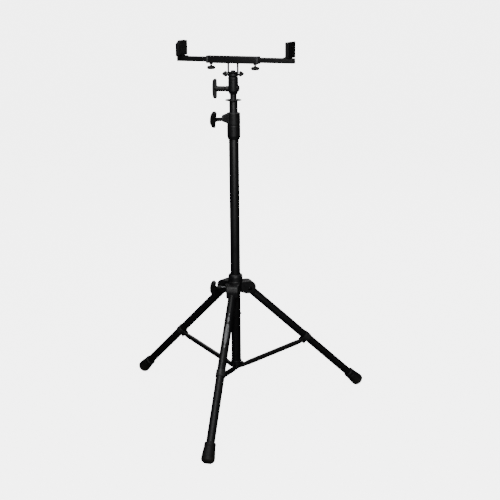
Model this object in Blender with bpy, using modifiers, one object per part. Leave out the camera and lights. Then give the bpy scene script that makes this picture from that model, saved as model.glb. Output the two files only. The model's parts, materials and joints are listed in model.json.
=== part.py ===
import math

import bmesh
import bpy
from mathutils import Matrix

MM = 0.001
AIR = 0.3 * MM              # gap between two pieces that touch

# Centre tube and the parts on it
TUBE_R = 17.5 * MM
TUBE_WALL = 2.0 * MM
TUBE_FOOT = 158.0 * MM      # height of its lower end
TUBE_HEAD = 1022.0 * MM     # height of its upper end, inside the collar
COLLAR_R = 23.0 * MM
COLLAR_FOOT = 983.0 * MM
COLLAR_HEAD = 1075.0 * MM
RIVET_HEIGHT = 350.0 * MM
KNOB_SIDE = -60.0           # direction of the hub and collar knobs, degrees from the front leg

# Sliding hub
HUB_HEIGHT = 443.5 * MM     # height of the leg pins
HUB_R = 26.0 * MM
LEG_PIN_REACH = 47.3 * MM   # from the tube's axis to a leg pin
ARM_WIDTH = 42.0 * MM
HUB_KNOB_UP = 9.0 * MM
HUB_BORE_R = TUBE_R + 2.6 * MM
POCKET_R = 20.3 * MM        # room for a leg's head to turn in
FOLDED_TILT = 6.0           # degrees between a folded leg and the tube

# Legs, braces and the lower bracket
LEG_SIDES = {"front": 0.0, "right": 120.0, "left": -120.0}
LEG_TILT = math.radians(46.35)
LEG_R = 14.75 * MM
LEG_WALL = 1.75 * MM
LEG_HEAD = 13.0 * MM        # tube past the pin
LEG_LENGTH = 623.0 * MM     # pin to the end of the tube
FOOT_LENGTH = 629.0 * MM    # pin to the end of the rubber foot
SADDLE_DOWN = 316.0 * MM    # pin to the saddle, along the leg
SADDLE_DROP = 22.0 * MM     # brace pin below the leg's axis
SADDLE_LENGTH = 24.0 * MM
BRACKET_REACH = 28.4 * MM   # from the tube's axis to a brace's inner end
BRACKET_HEIGHT = 146.6 * MM
SKIRT_R = 19.6 * MM         # lower bracket round the tube's end
BRACE_WIDTH = 9.8 * MM
BRACE_DEPTH = 16.5 * MM
BRACE_END_R = 5.9 * MM
BRACE_WALL = 1.6 * MM
PIN_R = 4.0 * MM
SMALL_PIN_R = 2.5 * MM

# Extending tube and what it carries
INNER_R = 14.75 * MM
INNER_WALL = 1.75 * MM
INNER_FOOT = 520.0 * MM
DISC_HEIGHT = 1116.5 * MM   # underside of the flange disc
DISC_R = 28.0 * MM
POST_R = 11.5 * MM
ADAPTER_FOOT = 1137.0 * MM
ADAPTER_HEAD = 1196.0 * MM
WING_HEAD = 1209.5 * MM

# Cradle, which stands turned on its swivel
HEAD_TURN = math.radians(-12.0)
STIRRUP_R = 20.8 * MM
STIRRUP_PLATE = 3.0 * MM
STIRRUP_ROD_R = 3.4 * MM
STIRRUP_LEG_OUT = 17.3 * MM
SLEEVE_FOOT = 1241.0 * MM
SLEEVE_SIDE = 25.0 * MM
SLEEVE_HALF = 87.0 * MM     # half its length, without the end bushes
BUSH_LENGTH = 8.0 * MM
BAR_SIDE = 17.5 * MM
BAR_INNER_END = 30.0 * MM
ARM_ENDS = {"left": 207.0 * MM, "right": 221.0 * MM}
UPRIGHT_INSET = 9.0 * MM    # from a bar's end
UPRIGHT_DEPTH = 70.0 * MM
UPRIGHT_CORNERS = {"left": (12.0 * MM, 20.0 * MM), "right": (3.0 * MM, 3.0 * MM)}   # down, along
PAD_TOP = 1316.0 * MM
PAD_THICK = 10.0 * MM
SCREW_OUT = 81.0 * MM       # thumbscrews from the middle

KNOB_NECK = 16.0 * MM
SCREW_R = 3.8 * MM          # clamping screws
SCREW_HOLE_R = 4.3 * MM
BOLT_R = 4.0 * MM

TEE_LENGTH = 68.0 * MM
TEE_OUTLINE = [             # share of the half length, and distance from the post's axis
    (-1, 60), (-1, 66), (-0.85, 71), (-0.4, 72.6), (0, 73), (0.4, 72.6), (0.85, 71), (1, 66), (1, 60),
    (0.85, 57.5), (0.4, 57), (0, 57), (-0.4, 57), (-0.85, 57.5),
]
THUMB_R = 14.6 * MM
WING_OUTLINE = [            # share of the half length, and height in millimetres
    (-1, 11), (-0.93, 18), (-0.55, 23.5), (0, 25), (0.55, 23.5), (0.93, 18), (1, 11),
    (0.95, 5.5), (0.5, 6.5), (0, 6), (-0.5, 6.5), (-0.95, 5.5),
]
FOOT_PROFILE = [            # radius and distance from the end, in millimetres
    (16.4, 68), (19.4, 66), (19.6, 50), (22.6, 22), (23.0, 13), (20.5, 5), (15.5, 0.8), (9.0, 0),
]


def start():
    """Empty the scene and make the two collections."""
    for thing in list(bpy.data.objects):
        bpy.data.objects.remove(thing, do_unlink=True)
    made = []
    for name in ("tripod_hunting_stand", "cutters"):
        collection = bpy.data.collections.new(name)
        bpy.context.scene.collection.children.link(collection)
        made.append(collection)
    return made


PARTS, CUTTERS = start()

LOOKS = {                   # colour, roughness, metallic
    "black_tube": ((0.012, 0.012, 0.013), 0.28, 0.6),
    "black_cast": ((0.016, 0.016, 0.017), 0.42, 0.3),
    "black_plastic": ((0.014, 0.014, 0.015), 0.5, 0.0),
    "rubber": ((0.013, 0.013, 0.013), 0.75, 0.0),
    "grey_plastic": ((0.16, 0.16, 0.165), 0.5, 0.0),
    "steel": ((0.42, 0.42, 0.43), 0.32, 1.0),
    "dark_steel": ((0.05, 0.05, 0.052), 0.36, 0.9),
}


def material(name, look):
    colour, roughness, metallic = LOOKS[look]
    made = bpy.data.materials.new(name + "_finish")
    made.use_nodes = True
    shader = made.node_tree.nodes["Principled BSDF"]
    shader.inputs["Base Color"].default_value = (*colour, 1.0)
    shader.inputs["Roughness"].default_value = roughness
    shader.inputs["Metallic"].default_value = metallic
    return made


def frame(name, matrix, parent=None):
    """An empty that holds a group of pieces; its origin is where the group turns or slides."""
    empty = bpy.data.objects.new(name, None)
    PARTS.objects.link(empty)
    empty.parent = parent
    empty.matrix_local = matrix
    return empty


def add(name, mesh, look, parent, place=Matrix()):
    """A piece when it has a look, otherwise a cutter."""
    obj = bpy.data.objects.new(name, mesh)
    obj.parent = parent
    obj.matrix_local = place
    if look:
        mesh.materials.append(material(name, look))
        PARTS.objects.link(obj)
    else:
        CUTTERS.objects.link(obj)
        obj.hide_render = True
        obj.display_type = "WIRE"
    return obj


def turned(name, profile, look, parent, place=Matrix(), steps=24):
    """Points of (radius, height), from the top down the outer side, spun about Z."""
    mesh = bpy.data.meshes.new(name)
    count = len(profile)
    edges = [(i, i + 1) for i in range(count - 1)]
    if profile[0][0] > 0:
        edges.append((count - 1, 0))
    mesh.from_pydata([(r, 0, z) for r, z in profile], edges, [])
    obj = add(name, mesh, look, parent, place)
    spin = obj.modifiers.new("spin", "SCREW")
    spin.steps = steps
    spin.render_steps = steps
    spin.use_merge_vertices = True
    spin.merge_threshold = 0.00001
    return obj


def tube(name, outer, inner, low, high, look, parent, place=Matrix(), steps=24):
    profile = [(outer, high), (outer, low), (inner, low), (inner, high)]
    return turned(name, profile, look, parent, place, steps)


def rod(name, radius, low, high, look, parent, place=Matrix(), steps=16):
    return turned(name, [(0, high), (radius, high), (radius, low), (0, low)], look, parent, place, steps)


def block(name, low, high, look, parent, place=Matrix(), bevel=0.0):
    size = [b - a for a, b in zip(low, high)]
    middle = [(a + b) / 2 for a, b in zip(low, high)]
    shape = bmesh.new()
    bmesh.ops.create_cube(shape, size=1.0, matrix=Matrix.Translation(middle) @ Matrix.Diagonal((*size, 1)))
    if bevel:
        bmesh.ops.bevel(shape, geom=shape.edges[:], offset=bevel, segments=1, affect="EDGES")
    mesh = bpy.data.meshes.new(name)
    shape.to_mesh(mesh)
    shape.free()
    return add(name, mesh, look, parent, place)


def plate(name, outlines, thickness, look, parent, place=Matrix(), middle=0.0):
    """A flat piece: outlines in its own XY plane, the first outside, any others holes."""
    curve = bpy.data.curves.new(name, "CURVE")
    curve.dimensions = "2D"
    curve.fill_mode = "BOTH"
    curve.extrude = thickness / 2
    for outline in outlines:
        spline = curve.splines.new("POLY")
        spline.points.add(len(outline) - 1)
        for point, (x, y) in zip(spline.points, outline):
            point.co = (x, y, 0, 1)
        spline.use_cyclic_u = True
    guide = bpy.data.objects.new(name + "_outline", curve)
    CUTTERS.objects.link(guide)
    bpy.context.view_layer.update()
    depsgraph = bpy.context.evaluated_depsgraph_get()
    mesh = bpy.data.meshes.new_from_object(guide.evaluated_get(depsgraph))
    bpy.data.objects.remove(guide)
    shape = bmesh.new()
    shape.from_mesh(mesh)
    bmesh.ops.remove_doubles(shape, verts=shape.verts, dist=0.000005)
    bmesh.ops.translate(shape, verts=shape.verts, vec=(0, 0, middle))
    bmesh.ops.recalc_face_normals(shape, faces=shape.faces)
    shape.to_mesh(mesh)
    shape.free()
    mesh.name = name
    return add(name, mesh, look, parent, place)


def combine(piece, tool, operation):
    step = piece.modifiers.new(tool.name, "BOOLEAN")
    step.operation = operation
    step.object = tool


def cut(piece, tool):
    combine(piece, tool, "DIFFERENCE")


def join(piece, tool):
    combine(piece, tool, "UNION")


def arc(cx, cy, radius, start_deg, end_deg, count):
    """Points on an arc; a negative sweep runs clockwise."""
    points = []
    for i in range(count + 1):
        angle = math.radians(start_deg + (end_deg - start_deg) * i / count)
        points.append((cx + radius * math.cos(angle), cy + radius * math.sin(angle)))
    return points


def circle(cx, cy, radius, count=16):
    return arc(cx, cy, radius, 0, 360, count)[:-1]


def shift(x=0.0, y=0.0, z=0.0):
    return Matrix.Translation((x, y, z))


def turn(degrees, axis):
    return Matrix.Rotation(math.radians(degrees), 4, axis)


def outward(side):
    """Turns a piece made towards -Y to the side given in degrees from the front leg."""
    return turn(side, "Z")


ALONG_X = turn(90, "Y")             # local +Z to +X
RADIAL_OUT = turn(90, "X")          # local +Z to -Y, which is outward
UPRIGHT_PLANE = Matrix(((0, 0, 1, 0), (-1, 0, 0, 0), (0, 1, 0, 0), (0, 0, 0, 1)))
# UPRIGHT_PLANE stands a flat outline (reach outward, height) in the plane x = 0.
END_PLANE = Matrix(((0, 0, 1, 0), (1, 0, 0, 0), (0, 1, 0, 0), (0, 0, 0, 1)))
# END_PLANE stands a flat outline (depth, height) square to the X axis.


def foot_reach(side):
    """How far the rubber foot reaches from the tube's axis towards a side, level with the floor."""
    along = math.sin(LEG_TILT) * math.cos(math.radians(side))
    across = math.sqrt(1 - along * along)
    far = 0.0
    for radius, back in FOOT_PROFILE:
        far = max(far, (FOOT_LENGTH - back * MM) * along + radius * MM * across)
    return LEG_PIN_REACH * math.cos(math.radians(side)) + far


MAST_Y = (foot_reach(0) - foot_reach(60)) / 2


def wing_knob(name, screw_name, parent, reach, length, tip):
    """Clamping knob with two swept wings on a screw, made along local +Z from the screw's tip."""
    rod(screw_name, SCREW_R, tip, reach + 9 * MM, "steel", parent, steps=12)
    boss = turned(name, [
        (0, 22 * MM), (7 * MM, 22 * MM), (9.5 * MM, 17 * MM), (9.5 * MM, 6 * MM), (6.8 * MM, 0),
        (6.8 * MM, -KNOB_NECK), (0, -KNOB_NECK),
    ], "black_plastic", parent, shift(z=reach), 16)
    outline = [(share * length / 2, height * MM) for share, height in WING_OUTLINE]
    wings = plate(name + "_wings", [outline], 18 * MM, None, parent, shift(z=reach) @ turn(90, "X"))
    join(boss, wings)
    cut(boss, rod(name + "_bore", SCREW_R + AIR, -KNOB_NECK - 1 * MM, 9.3 * MM, None, parent, shift(z=reach), 12))


def build_mast(stand):
    body = tube("main_tube", TUBE_R, TUBE_R - TUBE_WALL, TUBE_FOOT, TUBE_HEAD, "black_tube", stand)
    rivet_place = shift(TUBE_R, 0, RIVET_HEIGHT) @ ALONG_X
    dome = [(3.6 * MM * math.sin(a), 0.4 * MM + 3.0 * MM * math.cos(a))
            for a in (0, math.pi / 6, math.pi / 3, math.pi / 2)]
    dome[0] = (0, dome[0][1])
    shank = [(2 * MM, 0.4 * MM), (2 * MM, -2.4 * MM), (0, -2.4 * MM)]
    turned("stop_rivet", dome + shank, "dark_steel", stand, rivet_place, 12)
    cut(body, rod("rivet_hole", 2.3 * MM, -4 * MM, 4 * MM, None, stand, rivet_place, 12))

    collar = turned("upper_collar", [
        (COLLAR_R, COLLAR_HEAD), (COLLAR_R, COLLAR_FOOT + 9 * MM), (COLLAR_R - 3 * MM, COLLAR_FOOT),
        (TUBE_R + AIR, COLLAR_FOOT), (TUBE_R + AIR, TUBE_HEAD + AIR), (INNER_R + 0.6 * MM, TUBE_HEAD + AIR),
        (INNER_R + 0.6 * MM, TUBE_HEAD + 8 * MM), (TUBE_R + 1.2 * MM, TUBE_HEAD + 8 * MM),
        (TUBE_R + 1.2 * MM, COLLAR_HEAD),
    ], "black_cast", stand)
    lug_z = COLLAR_HEAD - 21 * MM
    lug_place = outward(KNOB_SIDE) @ UPRIGHT_PLANE
    lug = plate("collar_lug", [[
        (19.5 * MM, COLLAR_HEAD - 1 * MM), (19.5 * MM, COLLAR_HEAD - 38 * MM),
        (26 * MM, lug_z - 14 * MM), (40 * MM, lug_z - 8.5 * MM),
        (41.5 * MM, lug_z - 6 * MM), (41.5 * MM, lug_z + 9 * MM), (38 * MM, lug_z + 14 * MM),
    ]], 18 * MM, None, stand, lug_place)
    join(collar, lug)
    screw_place = outward(KNOB_SIDE) @ shift(z=lug_z) @ RADIAL_OUT
    cut(collar, rod("collar_screw_hole", SCREW_HOLE_R, 10 * MM, 50 * MM, None, stand, screw_place))
    bush = tube("collar_bush", TUBE_R + 0.9 * MM, INNER_R + AIR, TUBE_HEAD + 8.3 * MM, COLLAR_HEAD + 1 * MM,
                "grey_plastic", stand)
    cut(bush, rod("bush_screw_hole", 4.4 * MM, 10 * MM, 24 * MM, None, stand, screw_place))
    knob = frame("collar_knob_axis", screw_place @ turn(70, "Z"), stand)
    wing_knob("collar_knob", "collar_screw", knob, 59 * MM, 58 * MM, INNER_R + 0.4 * MM)

    build_lower_bracket(stand)


def build_lower_bracket(stand):
    top = TUBE_FOOT - AIR
    core = turned("lower_bracket", [
        (0, top + 24 * MM), (TUBE_R - TUBE_WALL - AIR, top + 24 * MM), (TUBE_R - TUBE_WALL - AIR, top),
        (TUBE_R + AIR, top), (TUBE_R + AIR, top + 12 * MM), (SKIRT_R, top + 12 * MM),
        (SKIRT_R, top - 5 * MM), (12 * MM, top - 9 * MM),
        (12 * MM, BRACKET_HEIGHT - 9 * MM), (0, BRACKET_HEIGHT - 9 * MM),
    ], "black_cast", stand)
    end = 6.0 * MM              # rounding of the ears
    outline = [(9 * MM, top - 0.4 * MM), (9 * MM, BRACKET_HEIGHT - 8.4 * MM)]
    outline += [(BRACKET_REACH, BRACKET_HEIGHT - end)]
    outline += arc(BRACKET_REACH, BRACKET_HEIGHT, end, -60, 60, 4)
    outline += [(BRACKET_REACH, top - 0.4 * MM)]
    for name, side in LEG_SIDES.items():
        for sign in (-1, 1):
            place = outward(side) @ UPRIGHT_PLANE
            offset = sign * (BRACE_WIDTH / 2 + 2 * MM)
            ear = plate(f"ear_{name}_{sign}", [outline], 3 * MM, None, stand, place, offset)
            join(core, ear)
            head = rod(f"ear_head_{name}_{sign}", 4.2 * MM, 8 * MM, 10.4 * MM, None, stand,
                       outward(side) @ shift(0, -BRACKET_REACH, BRACKET_HEIGHT) @ turn(90 * sign, "Y"), 10)
            join(core, head)


def leg_pocket(clear):
    """Outline of the room that a leg needs between its open and its folded place."""
    pin = LEG_PIN_REACH
    folded = math.radians(FOLDED_TILT)
    half_way = (LEG_TILT - folded) / 2
    corner = math.degrees(folded + math.acos(clear / POCKET_R))
    outline = [(pin - POCKET_R, -40 * MM)] + arc(pin, 0, POCKET_R, 180, corner, 12)
    knee = clear / math.cos(half_way)
    knee_x = pin + knee * math.cos(folded + half_way)
    knee_z = knee * math.sin(folded + half_way)
    run = 60 * MM
    out_x = knee_x + run * math.sin(LEG_TILT)
    out_z = knee_z - run * math.cos(LEG_TILT)
    return outline + [(knee_x, knee_z), (out_x, out_z), (out_x, -60 * MM), (pin - POCKET_R, -60 * MM)]


def build_hub(stand):
    hub = frame("hub_axis", shift(z=HUB_HEIGHT), stand)
    body = turned("hub", [(0, 56 * MM), (20.8 * MM, 56 * MM), (24.5 * MM, 52 * MM), (HUB_R, 46 * MM),
                          (HUB_R, -11 * MM), (0, -11 * MM)], "black_cast", hub)
    pin = LEG_PIN_REACH
    outline = [(12 * MM, 28 * MM), (12 * MM, -10.5 * MM), (34 * MM, -19 * MM), (62 * MM, -20 * MM)]
    outline += arc(62 * MM, -11 * MM, 9 * MM, -90, 0, 3)[1:]
    outline += arc(pin, 3 * MM, 24.5 * MM, 0, 90, 6)
    for name, side in LEG_SIDES.items():
        arm = plate("arm_" + name, [outline], ARM_WIDTH, None, hub, outward(side) @ UPRIGHT_PLANE)
        join(body, arm)
    boss_place = outward(KNOB_SIDE) @ shift(z=HUB_KNOB_UP) @ RADIAL_OUT
    join(body, rod("hub_boss", 11 * MM, 18 * MM, 40 * MM, None, hub, boss_place))
    cut(body, rod("hub_bore", HUB_BORE_R, -20 * MM, 70 * MM, None, hub, steps=24))

    wide = LEG_R + 0.45 * MM
    pocket = leg_pocket(LEG_R + 0.5 * MM)
    for name, side in LEG_SIDES.items():
        place = outward(side) @ UPRIGHT_PLANE
        cut(body, plate("pocket_" + name, [pocket], 2 * wide, None, hub, place))
        pin_place = outward(side) @ shift(0, -pin, 0) @ ALONG_X
        cut(body, rod("pin_hole_" + name, PIN_R + AIR, -30 * MM, 30 * MM, None, hub, pin_place, 14))
        half = ARM_WIDTH / 2
        turned("leg_pin_" + name, [
            (0, half + 3 * MM), (5 * MM, half + 3 * MM), (7 * MM, half + 1.2 * MM), (7 * MM, half + AIR),
            (PIN_R, half + AIR), (PIN_R, -half - AIR), (7 * MM, -half - AIR), (7 * MM, -half - 1.2 * MM),
            (5 * MM, -half - 3 * MM), (0, -half - 3 * MM),
        ], "dark_steel", hub, pin_place, 14)
        build_leg(name, side, hub)
    cut(body, rod("hub_screw_hole", SCREW_HOLE_R, 10 * MM, 50 * MM, None, hub, boss_place))

    bush = tube("hub_bush", HUB_BORE_R - AIR, TUBE_R + AIR, -10 * MM, 54 * MM, "grey_plastic", hub)
    cut(bush, rod("hub_bush_hole", 4.4 * MM, 10 * MM, 24 * MM, None, hub, boss_place))
    knob = frame("hub_knob_axis", boss_place @ turn(78, "Z"), hub)
    wing_knob("hub_knob", "hub_screw", knob, 70 * MM, 58 * MM, TUBE_R + 0.4 * MM)


def build_leg(name, side, hub):
    leg = frame(f"leg_{name}_axis", outward(side) @ shift(0, -LEG_PIN_REACH, 0)
                @ Matrix.Rotation(-LEG_TILT, 4, "X"), hub)
    body = tube("leg_tube_" + name, LEG_R, LEG_R - LEG_WALL, -LEG_LENGTH, LEG_HEAD, "black_tube", leg)
    hole = rod("leg_hole_" + name, PIN_R + AIR, -30 * MM, 30 * MM, None, leg, ALONG_X, 14)
    cut(body, hole)
    inside = LEG_R - LEG_WALL - AIR
    plug = turned("leg_plug_" + name, [
        (0, LEG_HEAD + 2.2 * MM), (9 * MM, LEG_HEAD + 1.8 * MM), (inside, LEG_HEAD - 0.5 * MM),
        (inside, -14 * MM), (0, -14 * MM),
    ], "black_plastic", leg)
    cut(plug, hole)

    outside = [(radius * MM, back * MM - FOOT_LENGTH) for radius, back in FOOT_PROFILE]
    socket = [(0, -LEG_LENGTH - AIR), (LEG_R + AIR, -LEG_LENGTH - AIR), (LEG_R + AIR, outside[0][1])]
    foot_cap = turned("foot_" + name, socket + outside + [(0, -FOOT_LENGTH)], "rubber", leg)
    floor = block("floor_" + name, (-0.2, -0.2, -0.1), (0.2, 0.2, 0), None, leg,
                  Matrix.Rotation(LEG_TILT, 4, "X") @ shift(0, -FOOT_LENGTH * math.sin(LEG_TILT), -HUB_HEIGHT))
    cut(foot_cap, floor)

    gap = BRACE_WIDTH / 2 + 0.5 * MM
    ear = gap + 3 * MM
    wide = LEG_R + AIR
    band = wide + 2 * MM
    open_deg = math.degrees(math.asin(gap / wide))
    ear_deg = math.degrees(math.asin(ear / band))
    drop = SADDLE_DROP + 5.5 * MM
    outline = [(ear, drop)]
    outline += arc(0, 0, band, 90 - ear_deg, 90 + ear_deg - 360, 16)
    outline += [(-ear, drop), (-gap, drop)]
    outline += arc(0, 0, wide, 90 + open_deg, 90 - open_deg + 360, 16) + [(gap, drop)]
    saddle = plate("saddle_" + name, [outline], SADDLE_LENGTH, "black_cast", leg, shift(z=-SADDLE_DOWN))
    pin_place = shift(0, SADDLE_DROP, -SADDLE_DOWN) @ ALONG_X
    for sign, lean in ((-1, -135), (1, 45)):
        corner = block(f"saddle_corner_{name}_{sign}", (-20 * MM, 0, 0), (20 * MM, 20 * MM, 20 * MM), None, leg,
                       shift(0, 18 * MM, -SADDLE_DOWN + sign * SADDLE_LENGTH / 2) @ turn(lean, "X"))
        cut(saddle, corner)
    cut(saddle, rod("saddle_hole_" + name, SMALL_PIN_R + AIR, -20 * MM, 20 * MM, None, leg, pin_place, 12))
    turned("saddle_pin_" + name, [
        (0, ear + 2.6 * MM), (3 * MM, ear + 2.6 * MM), (4.5 * MM, ear + 1.2 * MM), (4.5 * MM, ear + AIR),
        (SMALL_PIN_R, ear + AIR), (SMALL_PIN_R, -ear - AIR), (4.5 * MM, -ear - AIR),
        (4.5 * MM, -ear - 1.2 * MM), (3 * MM, -ear - 2.6 * MM), (0, -ear - 2.6 * MM),
    ], "dark_steel", leg, pin_place, 12)
    build_brace(name, leg)


def build_brace(name, leg):
    """The brace hangs from the saddle; its inner end is free inside the lower bracket's ears."""
    reach = LEG_PIN_REACH + SADDLE_DOWN * math.sin(LEG_TILT) - SADDLE_DROP * math.cos(LEG_TILT)
    height = HUB_HEIGHT - SADDLE_DOWN * math.cos(LEG_TILT) - SADDLE_DROP * math.sin(LEG_TILT)
    length = math.hypot(reach - BRACKET_REACH, height - BRACKET_HEIGHT)
    slope = math.atan2(height - BRACKET_HEIGHT, reach - BRACKET_REACH)
    angle = math.pi / 2 - slope + LEG_TILT
    axis = frame(f"brace_{name}_axis", shift(0, SADDLE_DROP, -SADDLE_DOWN)
                 @ Matrix.Rotation(angle, 4, "X"), leg)
    half = BRACE_DEPTH / 2
    taper = 22 * MM
    outline = arc(0, 0, BRACE_END_R, 20, 160, 6)
    outline += [(-half, -taper), (-half, taper - length)]
    outline += arc(0, -length, BRACE_END_R, 200, 340, 6)
    outline += [(half, taper - length), (half, -taper)]
    holes = [circle(0, 0, SMALL_PIN_R + AIR, 12), circle(0, -length, SMALL_PIN_R + AIR, 12)]
    bar = plate("brace_" + name, [outline] + holes, BRACE_WIDTH, "black_tube", axis, END_PLANE)
    hollow = BRACE_WIDTH / 2 - BRACE_WALL
    low = (-hollow, -20 * MM, -length - 20 * MM)
    high = (hollow, BRACE_END_R - BRACE_WALL - 0.5 * MM, 20 * MM)
    channel = block("channel_" + name, low, high, None, axis)
    cut(bar, channel)


def build_upper(stand):
    inner = frame("inner_mast_axis", Matrix(), stand)
    low = DISC_HEIGHT - 3.5 * MM
    tube("inner_tube", INNER_R, INNER_R - INNER_WALL, INNER_FOOT, low - 0.5 * MM, "black_tube", inner)
    turned("inner_guide", [
        (0, INNER_FOOT + 26 * MM), (INNER_R - INNER_WALL - AIR, INNER_FOOT + 26 * MM),
        (INNER_R - INNER_WALL - AIR, INNER_FOOT - AIR), (TUBE_R - TUBE_WALL - AIR, INNER_FOOT - AIR),
        (TUBE_R - TUBE_WALL - AIR, INNER_FOOT - 30 * MM), (0, INNER_FOOT - 30 * MM),
    ], "grey_plastic", inner)
    plug = INNER_R - INNER_WALL - AIR
    turned("post", [
        (0, ADAPTER_HEAD - 20 * MM), (POST_R - 1 * MM, ADAPTER_HEAD - 20 * MM),
        (POST_R, ADAPTER_HEAD - 21 * MM), (POST_R, DISC_HEIGHT + 3 * MM),
        (DISC_R, DISC_HEIGHT + 3 * MM), (DISC_R, DISC_HEIGHT - 0.5 * MM),
        (INNER_R + 4 * MM, DISC_HEIGHT - 1.5 * MM), (INNER_R, low), (plug, low), (plug, low - 32 * MM),
        (0, low - 32 * MM),
    ], "black_cast", inner)

    adapter = frame("adapter_axis", Matrix(), inner)
    bore = POST_R + AIR
    sleeve = turned("adapter_sleeve", [
        (BOLT_R + AIR, ADAPTER_HEAD), (TUBE_R, ADAPTER_HEAD), (TUBE_R, ADAPTER_FOOT + 12 * MM),
        (13.2 * MM, ADAPTER_FOOT), (bore, ADAPTER_FOOT), (bore, ADAPTER_HEAD - 17 * MM),
        (BOLT_R + AIR, ADAPTER_HEAD - 17 * MM),
    ], "black_cast", adapter)
    knob_z = 1155.5 * MM
    knob_place = shift(z=knob_z) @ outward(-90) @ RADIAL_OUT
    join(sleeve, rod("adapter_boss", 10 * MM, 14 * MM, 27 * MM, None, adapter, knob_place))
    back = turned("adapter_back", [
        (0, 21.5 * MM), (8 * MM, 21.5 * MM), (13 * MM, 15 * MM), (0, 15 * MM),
    ], None, adapter, shift(z=knob_z + 2 * MM) @ outward(90) @ RADIAL_OUT)
    join(sleeve, back)
    cut(sleeve, rod("adapter_screw_hole", SCREW_HOLE_R, 5 * MM, 40 * MM, None, adapter, knob_place))
    head_low = WING_HEAD + STIRRUP_PLATE + AIR
    bolt = rod("swivel_bolt", BOLT_R, ADAPTER_HEAD - 16.5 * MM, head_low + 2 * MM, "steel", adapter)
    join(bolt, rod("bolt_head", 8.6 * MM, head_low, head_low + 5.0 * MM, None, adapter, steps=6))

    knob = frame("adapter_knob_axis", knob_place @ turn(90, "Z"), adapter)
    build_tee_knob(knob)

    wing = frame("wing_nut_axis", Matrix(), adapter)
    build_wing_nut(wing)
    build_head(adapter)


def build_tee_knob(knob):
    rod("adapter_screw", SCREW_R, POST_R + 0.4 * MM, 57 * MM, "steel", knob, steps=12)
    neck = turned("adapter_knob", [
        (0, 66 * MM), (6 * MM, 66 * MM), (9.8 * MM, 60 * MM), (9.4 * MM, 50 * MM),
        (9.4 * MM, 28 * MM), (0, 28 * MM),
    ], "black_plastic", knob, steps=16)
    outline = [(share * TEE_LENGTH / 2, height * MM) for share, height in TEE_OUTLINE]
    bar = plate("tee_bar", [outline], 14 * MM, None, knob, turn(90, "X"))
    join(neck, bar)
    cut(neck, rod("tee_bore", SCREW_R + AIR, 20 * MM, 57.3 * MM, None, knob, steps=16))


def build_wing_nut(wing):
    low = ADAPTER_HEAD + AIR
    high = WING_HEAD - AIR
    nut = turned("wing_nut", [
        (BOLT_R + AIR, high), (15 * MM, high), (18 * MM, high - 3 * MM), (18 * MM, low + 3 * MM),
        (15 * MM, low), (BOLT_R + AIR, low),
    ], "black_cast", wing)
    for sign in (-1, 1):
        half = [(12, 2), (21.4, 2), (22.3, 8.5), (26, 10), (35, 4.5), (38.5, 0), (35, -4.5), (26, -10),
                (21.5, -8.5), (20.3, -6), (12, -6)]
        hollow = [(25.5, 1.5), (27, 1.8), (29.5, 0.8), (29.5, -0.8), (27, -1.8), (25.5, -1.5)]
        outline = [(sign * x * MM, y * MM) for x, y in half]
        eye = [(sign * x * MM, y * MM) for x, y in hollow]
        place = shift(z=high - 3 * MM) @ turn(90, "X")
        wings = plate(f"wing_{sign}", [outline, eye], 7 * MM, None, wing, place)
        join(nut, wings)


def build_head(adapter):
    head = frame("head_axis", turn(math.degrees(HEAD_TURN), "Z"), adapter)
    web = WING_HEAD
    stirrup = turned("swivel_stirrup", [
        (BOLT_R + AIR, web + STIRRUP_PLATE), (STIRRUP_R, web + STIRRUP_PLATE), (STIRRUP_R, web),
        (BOLT_R + AIR, web),
    ], "dark_steel", head)
    for sign in (-1, 1):
        leg = rod(f"stirrup_leg_{sign}", STIRRUP_ROD_R, web + 1 * MM, SLEEVE_FOOT - AIR, None, head,
                  shift(sign * STIRRUP_LEG_OUT, 0, 0), 12)
        join(stirrup, leg)

    side = SLEEVE_SIDE / 2
    middle = SLEEVE_FOOT + side
    inside = BAR_SIDE / 2 + 2.2 * MM
    sleeve = block("crossbar_sleeve", (-SLEEVE_HALF, -side, middle - side), (SLEEVE_HALF, side, middle + side),
                   "black_tube", head)
    cut(sleeve, block("sleeve_bore", (-0.2, -inside, middle - inside), (0.2, inside, middle + inside),
                      None, head))
    for name, sign in (("left", -1), ("right", 1)):
        out = turn(0 if sign > 0 else 180, "Z")
        build_bush(name, head, out, middle, inside)
        build_thumbscrew(name, head, out, sleeve)
        build_arm(name, head, out, middle)


def build_bush(name, head, out, middle, inside):
    slot = BAR_SIDE / 2 + AIR
    flange = SLEEVE_SIDE / 2 + 0.5 * MM
    low = SLEEVE_HALF + AIR
    bush = block("end_bush_" + name, (low, -flange, middle - flange),
                 (low + BUSH_LENGTH, flange, middle + flange), "grey_plastic", head, out, 1.2 * MM)
    plug = inside - AIR
    join(bush, block("bush_plug_" + name, (low - 0.5 * MM, -plug, middle - plug),
                     (low + 1 * MM, plug, middle + plug), None, head, out))
    cut(bush, block("bush_slot_" + name, (0, -slot, middle - slot), (0.2, slot, middle + slot),
                    None, head, out))


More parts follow.
